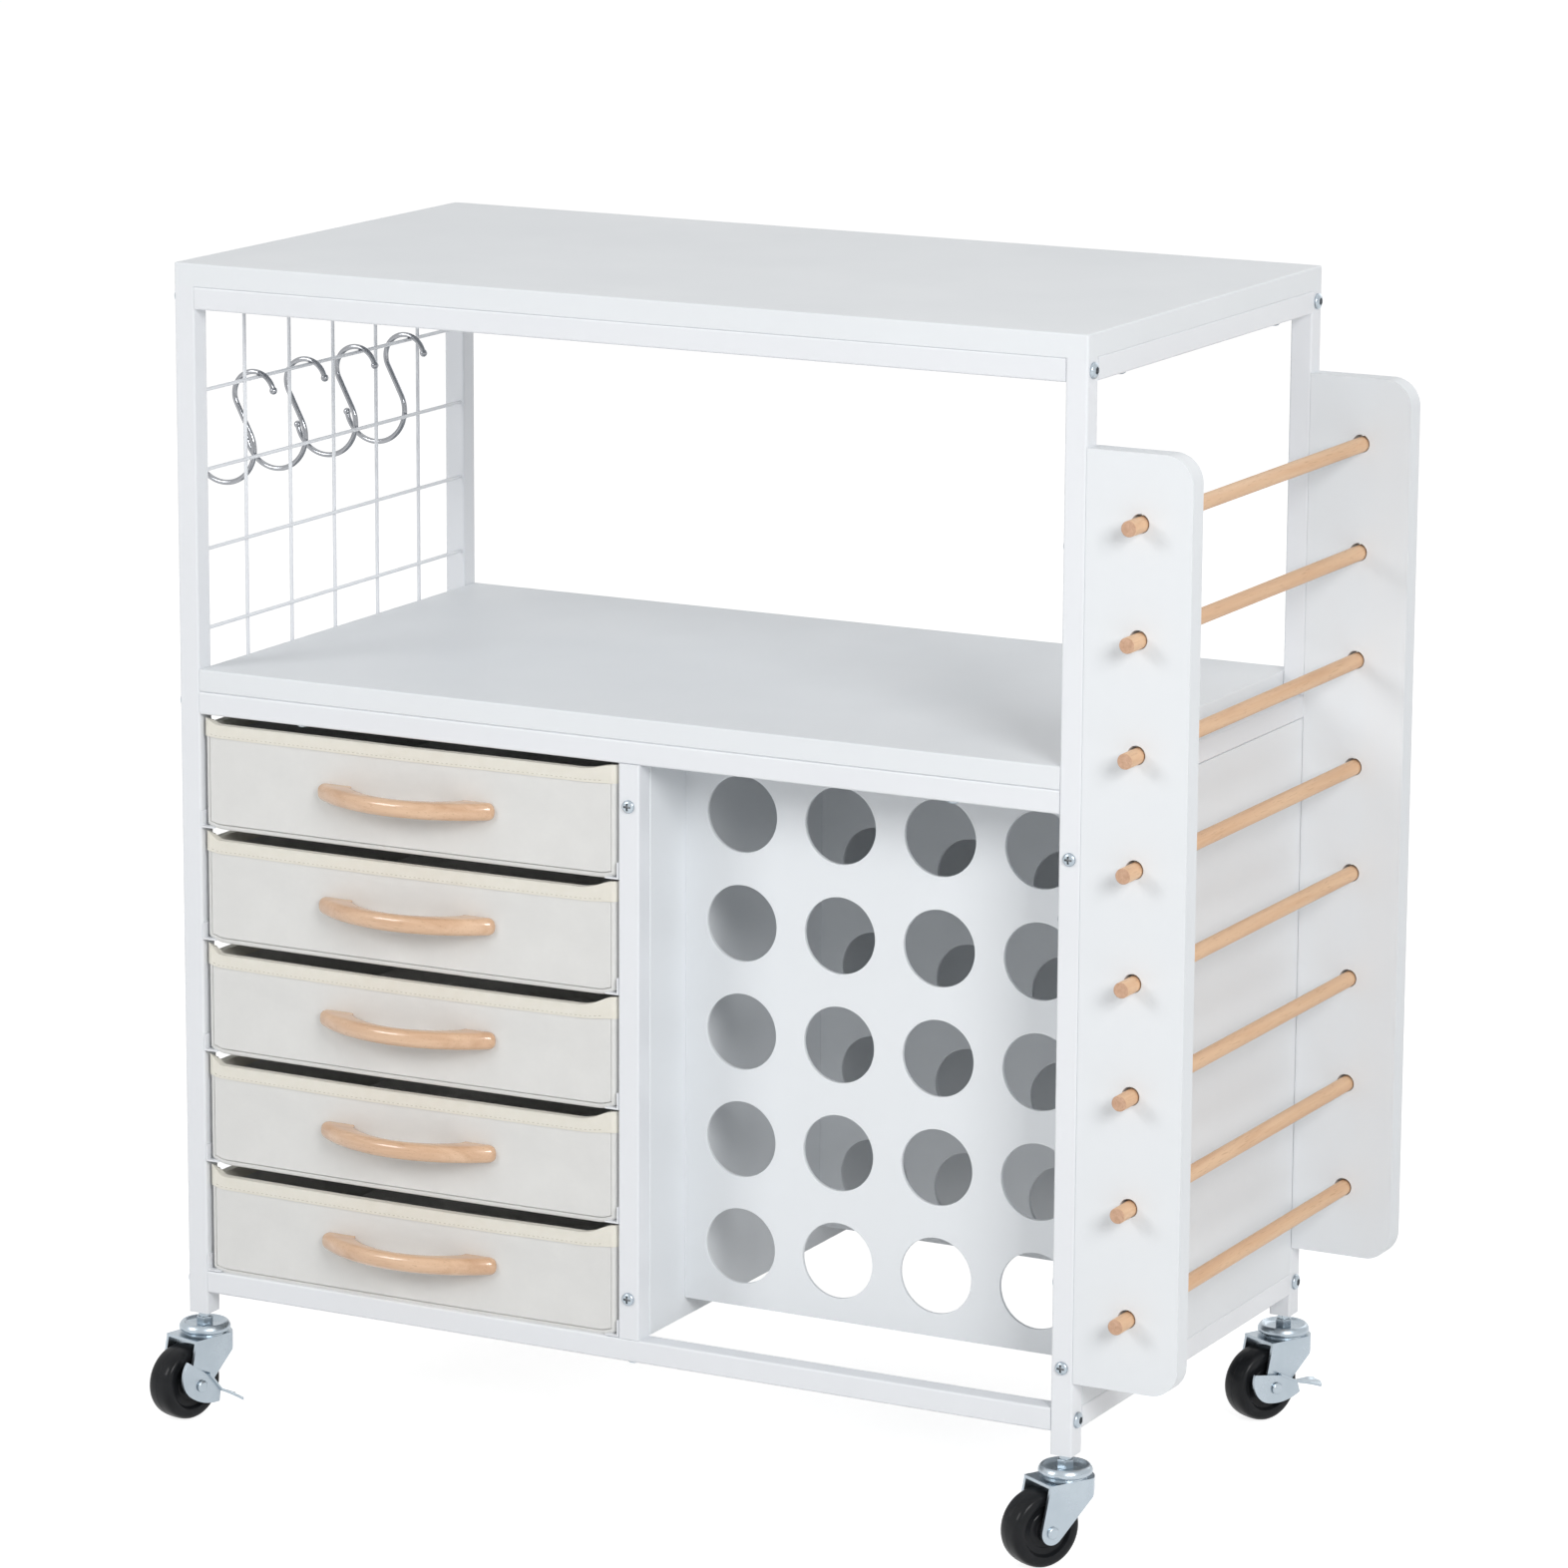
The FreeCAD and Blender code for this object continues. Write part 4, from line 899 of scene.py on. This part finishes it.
def mounted(piece, body, finish, replaced=None):
    # finish, moving body and the CAD node that the piece takes the place of
    if finish:
        dress(piece, finish)
    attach(piece, body)
    if replaced:
        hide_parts(replaced)
    return piece


def middleOf(name):
    low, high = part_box(name)
    return (low + high) / 2


fasteners = {
    "boltHead": (5.2 * mm, 2.8 * mm), "boltShank": 3 * mm, "boltLength": 29 * mm,
    "screwHead": (4.25 * mm, 2.4 * mm), "screwShank": 2 * mm, "panelScrew": 45 * mm,
    "boardScrew": 25 * mm, "spoolScrew": 37 * mm, "intoHead": 0.3 * mm, "panelEnd": 27 * mm,
    "topInset": 61 * mm, "shelfInset": 90 * mm, "spoolEnd": 62 * mm, "seatGap": 0.3 * mm,
}


def boltSeats():
    # the place under each bolt's head, and the way the head looks
    left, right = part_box("left_side_frame")[0].x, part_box("right_side_frame")[1].x
    seats = []
    for level in ("bottom", "shelf", "top"):
        for end in ("front", "rear"):
            rail = middleOf("%s_%s_rail" % (level, end))
            seats.append((Vector((left, rail.y, rail.z)), (-1, 0, 0)))
            seats.append((Vector((right, rail.y, rail.z)), (1, 0, 0)))
    return seats


def screwSeats():
    # the same for the screws, with the length of the shank as a third value
    size = fasteners
    low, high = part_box("left_side_frame")[0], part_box("right_side_frame")[1]
    shelfUnder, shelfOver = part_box("shelf_front_rail")[0].z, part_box("shelf_front_rail")[1].z
    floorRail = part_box("bottom_front_rail")
    levels = (floorRail[1].z + size["panelEnd"], shelfUnder - size["panelEnd"] - size["seatGap"])
    seats = []
    for x in (middleOf("front_middle_post").x, middleOf("right_side_frame").x):
        for z in levels:
            seats.append((Vector((x, low.y, z)), (0, -1, 0), size["panelScrew"]))
            seats.append((Vector((x, high.y, z)), (0, 1, 0), size["panelScrew"]))
    for x in (middleOf("left_side_frame").x, middleOf("right_side_frame").x):
        for y in (low.y + size["topInset"], high.y - size["topInset"]):
            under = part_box("top_front_rail")[0].z
            seats.append((Vector((x, y, under)), (0, 0, -1), size["boardScrew"]))
    for y in (middleOf("shelf_front_rail").y, middleOf("shelf_rear_rail").y):
        for x in (low.x + size["shelfInset"], high.x - size["shelfInset"]):
            seats.append((Vector((x, y, shelfUnder)), (0, 0, -1), size["boardScrew"]))
        x = middleOf("front_middle_post").x
        seats.append((Vector((x, y, floorRail[0].z)), (0, 0, -1), size["boardScrew"]))
        seats.append((Vector((x, y, shelfOver)), (0, 0, 1), size["boardScrew"]))
    for panel in ("front_dowel_panel", "rear_dowel_panel"):
        under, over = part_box(panel)
        bottom, top = under.z + size["spoolEnd"], over.z - size["spoolEnd"]
        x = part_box("right_side_frame")[0].x
        for z in (bottom, (bottom + top) / 2, top):
            seats.append((Vector((x, middleOf(panel).y, z)), (-1, 0, 0), size["spoolScrew"]))
    return seats


def makeFasteners():
    size = fasteners
    bolts, screws = [], []

    def fitted(head, length, radius, sides, place, outwards):
        shank = bar("shank", (0, 0, size["intoHead"]), (0, 0, -length), radius, sides)
        return stand(joined(head.name, [head, dress(shank, zincSteel)]), place, outwards)

    for place, outwards in boltSeats():
        head = hexHead("bolt", *size["boltHead"])
        bolts.append(fitted(head, size["boltLength"], size["boltShank"], 20, place, outwards))
    for place, outwards, length in screwSeats():
        head = crossHead("screw", *size["screwHead"])
        screws.append(fitted(head, length, size["screwShank"], 16, place, outwards))
    mounted(joined("bolt_set", bolts), "cart", None, "frame_bolts")
    mounted(joined("screw_set", screws), "cart", None, "panel_screws")
    print("fasteners driven in")


# casters: pressed cap and pin, chamfered nut, moulded wheel, pressed fork and brake lever;
# both profiles are (radius, height) in mm
capProfile = [
    (2.0, 50.8), (4.6, 50.9), (5.4, 51.5), (5.5, 52.4), (5.1, 53.2), (3.0, 53.2), (3.0, 57.6),
    (16.2, 57.6), (16.8, 57.8), (17.2, 58.4), (17.2, 59.8), (17.0, 60.5), (16.4, 61.6),
    (15.8, 62.4), (15.3, 62.8), (14.8, 63.0), (14.3, 62.9), (13.8, 62.5), (13.0, 61.7),
    (12.0, 61.0), (10.8, 60.7), (8.0, 60.6), (4.0, 60.7), (4.0, 84.0), (3.6, 84.8), (2.0, 85.0),
]
nutSize = {"acrossFlats": 10 * mm, "low": 60.6 * mm, "high": 66.6 * mm, "turn": 0.4,
           "chamfer": 0.5 * mm}
wheelHalf = [
    (2.58, 12.3), (6.0, 12.3), (6.5, 11.9), (6.9, 8.2), (7.4, 7.5), (8.2, 7.3), (10.8, 7.3),
    (11.3, 7.1), (11.7, 6.8), (15.2, 6.8), (15.9, 7.0), (16.4, 7.6), (16.9, 8.8), (17.5, 9.5),
    (18.3, 9.72), (20.4, 9.75), (21.6, 9.58), (22.7, 9.15), (23.6, 8.4), (24.2, 7.3), (24.6, 5.8),
    (24.85, 3.8), (24.97, 1.6), (25.0, 0.35), (24.85, 0.12),
]
pressedEase = 0.45 * mm
easing = {"merge": 0.01 * mm, "flat": 2.0, "segments": 3, "sharp": 38}
pedalDish = {"start": 12 * mm, "plate": 17.5 * mm, "step": 1.6 * mm, "length": 20 * mm,
             "width": 13 * mm, "hollow": 2.0 * mm, "curl": 1.2 * mm, "cutsAlong": 11,
             "cutsAside": 8}
casterNames = ("front_left", "front_right", "rear_left", "rear_right")


def casterAxis(name):
    end, side = name.split("_")
    return Vector((middleOf(side + "_side_frame").x, middleOf("bottom_%s_rail" % end).y, 0))


def makeCaps():
    pieces = []
    profile = [(r * mm, z * mm) for r, z in capProfile]
    for name in casterNames:
        cap = turned("cap", profile, 72)
        smooth(cap, 34)
        nut = hexPrism("nut", nutSize["acrossFlats"], nutSize["low"], nutSize["high"],
                       nutSize["turn"])
        rounded(nut, nutSize["chamfer"], 3)
        both = joined("cap", [cap, nut])
        pieces.append(stand(both, casterAxis(name), (0, 0, 1)))
    mounted(joined("caster_caps", pieces), "cart", zincSteel, "caster_stems")


def makeWheel(name):
    half = [(r * mm, z * mm) for r, z in wheelHalf]
    profile = half + [(r, -z) for r, z in reversed(half)] + [half[0]]
    wheel = turned("wheel_%s_moulded" % name, profile, 80, True)
    smooth(wheel, 34)
    centre = middleOf("wheel_" + name)
    trail = centre - casterAxis(name)
    stand(wheel, centre, (-trail.y, trail.x, 0))
    mounted(wheel, "wheel_" + name, wheelBlack, "wheel_" + name)


def easedCopy(node, name, width, shaping=None):
    # merged copy of a CAD node with flat faces joined and its edges eased
    twin = copied(node, name)
    editMesh(twin)
    bpy.ops.mesh.select_all(action="SELECT")
    bpy.ops.mesh.remove_doubles(threshold=easing["merge"])
    bpy.ops.mesh.dissolve_limited(angle_limit=math.radians(easing["flat"]))
    leaveEdit()
    if shaping:
        shaping(twin)
    if twin.data.has_custom_normals:
        only(twin)
        bpy.ops.mesh.customdata_custom_splitnormals_clear()
    return rounded(twin, width, easing["segments"], easing["sharp"])


def dishPedal(lever, name):
    # the turned-out pedal is pressed hollow: its free edge and its tip curl down
    size = pedalDish
    axle = middleOf("wheel_" + name)
    nose = (casterAxis(name) - Vector((axle.x, axle.y, 0))).normalized()
    aside = Vector((nose.y, -nose.x, 0))
    start = size["start"]
    for axis, first, count in ((nose, start, size["cutsAlong"]),
                               (aside, size["plate"], size["cutsAside"])):
        for index in range(count):
            editMesh(lever)
            bpy.ops.mesh.select_all(action="SELECT")
            bpy.ops.mesh.bisect(plane_co=axle + axis * (first + index * size["step"]),
                                plane_no=axis)
            leaveEdit()
    for vert in lever.data.vertices:
        reach = (vert.co - axle).dot(nose) - start
        side = (vert.co - axle).dot(aside) - size["plate"]
        if reach > 0 and side > 0:
            tip = min(reach / size["length"], 1.2)
            vert.co.z -= size["hollow"] * (side / size["width"]) ** 2 * min(tip * 2, 1)
            vert.co.z -= size["curl"] * tip ** 2


def makeCasters():
    makeCaps()
    for name in casterNames:
        makeWheel(name)
        yoke = easedCopy(nodes["fork_" + name], "fork_%s_pressed" % name, pressedEase)
        mounted(yoke, "caster_" + name, zincSteel, "fork_" + name)
        if "brake_" + name in nodes:
            lever = easedCopy(nodes["brake_" + name], "brake_%s_pressed" % name,
                              pressedEase, lambda piece: dishPedal(piece, name))
            mounted(lever, "brake_" + name, zincSteel, "brake_" + name)
    print("casters riveted")


# boards with lightly broken edges
boardEase = 0.5 * mm


def makeBoards():
    for part in frame["record"]["subparts"]:
        if part["material_slot"] == "board_white":
            name = part["node"]
            board = easedCopy(nodes[name], name + "_banded", boardEase)
            mounted(board, "cart", boardWhite, name)
    print("boards banded")


# dowels with sawn ends of darker grain
dowelEase = 0.7 * mm


def makeDowels():
    for number in range(1, 9):
        name = "dowel_%d" % number
        low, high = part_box(name)
        middle = (low + high) / 2
        peg = bar(name + "_turned", (middle.x, high.y, middle.z), (middle.x, low.y, middle.z),
                  (high.x - low.x) / 2, 48)
        rounded(peg, dowelEase, 3, 60)
        mounted(peg, name, dowelWood, name)
        peg.data.materials.append(dowelEnd)
        mesh = editMesh(peg)
        selectMode("faces")
        pick(mesh, lambda face: abs(face.normal.y) > 0.7)
        peg.active_material_index = 1
        bpy.ops.object.material_slot_assign()
        leaveEdit()
    print("dowels cut")


makeDrawers()
makeHandles()
makeFasteners()
makeCasters()
makeBoards()
makeDowels()

# camera at the photograph's viewing angle, lamps and stage
view = {
    "place": (1.94218, -3.67508, 1.3398), "azimuth": 27.643, "elevation": 12.293, "roll": 0.312,
    "lens": 149.4, "sensor": 36.0,
}


stageLook = {
    "worldLight": 0.42, "worldSeen": 1.0, "plain": (0.8, 0.8, 0.8, 1),
    "lit": (0.46, 0.46, 0.46, 1), "ownLight": 0.84,
}


def addCamera():
    data = bpy.data.cameras.new("camera")
    data.lens = view["lens"]
    data.sensor_width = view["sensor"]
    camera = bpy.data.objects.new("camera", data)
    bpy.context.scene.collection.objects.link(camera)
    azimuth, elevation = math.radians(view["azimuth"]), math.radians(view["elevation"])
    ahead = Vector((-math.sin(azimuth) * math.cos(elevation),
                    math.cos(azimuth) * math.cos(elevation), -math.sin(elevation)))
    camera.matrix_world = ahead.to_track_quat("-Z", "Y").to_matrix().to_4x4()
    camera.rotation_euler.rotate_axis("Z", math.radians(view["roll"]))
    camera.location = view["place"]
    bpy.context.scene.camera = camera


lampSet = {
    "key": {"place": (2.75, -2.35, 2.0), "size": 1.3, "watts": 70},
    "fill": {"place": (-2.1, -3.0, 2.2), "size": 1.3, "watts": 38},
    "top": {"place": (0.2, 0.4, 3.2), "size": 2.4, "watts": 6},
    "back": {"place": (0.6, 3.0, 1.8), "size": 2.0, "watts": 12},
}
aim = Vector((0, 0, 0.4))


def addLamps():
    for name, lamp in lampSet.items():
        data = bpy.data.lights.new(name, "AREA")
        data.shape = "SQUARE"
        data.size = lamp["size"]
        data.energy = lamp["watts"]
        thing = bpy.data.objects.new(name, data)
        thing.location = lamp["place"]
        thing.rotation_euler = (aim - Vector(lamp["place"])).to_track_quat("-Z", "Y").to_euler()
        bpy.context.scene.collection.objects.link(thing)


def isSeen(tree, x, y):
    # 1 for what the camera, a mirror or a glass sees
    path = node(tree, "ShaderNodeLightPath", x, y)
    total = path.outputs["Is Camera Ray"]
    for step, other in enumerate(("Is Glossy Ray", "Is Transmission Ray")):
        add = node(tree, "ShaderNodeMath", x + 200 * (step + 1), y, operation="ADD",
                   use_clamp=True)
        link(total, add.inputs[0])
        link(path.outputs[other], add.inputs[1])
        total = add.outputs[0]
    return total


def addWorld():
    world = bpy.data.worlds.new("studio")
    bpy.context.scene.world = world
    world.use_nodes = True
    tree = world.node_tree
    tree.nodes.clear()
    white = (1, 1, 1, 1)
    light = node(tree, "ShaderNodeBackground", 0, 100, Color=white,
                 Strength=stageLook["worldLight"])
    seen = node(tree, "ShaderNodeBackground", 0, -100, Color=white,
                Strength=stageLook["worldSeen"])
    choice = node(tree, "ShaderNodeMixShader", 250, 0)
    link(isSeen(tree, -600, 200), choice.inputs[0])
    link(light.outputs[0], choice.inputs[1])
    link(seen.outputs[0], choice.inputs[2])
    link(choice.outputs[0], node(tree, "ShaderNodeOutputWorld", 450, 0).inputs[0])


def addFloor():
    bpy.ops.object.select_all(action="DESELECT")
    bpy.ops.mesh.primitive_plane_add(size=80, location=(0, 0, 0))
    floor = settle("floor")
    material = bpy.data.materials.new("stageFloor")
    material.use_nodes = True
    tree = material.node_tree
    tree.nodes.clear()
    plain = node(tree, "ShaderNodeBsdfDiffuse", 0, 150, Color=stageLook["plain"])
    lit = node(tree, "ShaderNodeBsdfDiffuse", 0, 0, Color=stageLook["lit"])
    glow = node(tree, "ShaderNodeEmission", 0, -150, Strength=stageLook["ownLight"])
    both = node(tree, "ShaderNodeAddShader", 200, -50)
    link(lit.outputs[0], both.inputs[0])
    link(glow.outputs[0], both.inputs[1])
    choice = node(tree, "ShaderNodeMixShader", 400, 50)
    link(isSeen(tree, -600, 300), choice.inputs[0])
    link(plain.outputs[0], choice.inputs[1])
    link(both.outputs[0], choice.inputs[2])
    link(choice.outputs[0], node(tree, "ShaderNodeOutputMaterial", 600, 0).inputs[0])
    dress(floor, material)


bpy.context.scene.view_settings.view_transform = "Standard"
addCamera()
addLamps()
addWorld()
addFloor()
print("camera, lamps and stage placed")
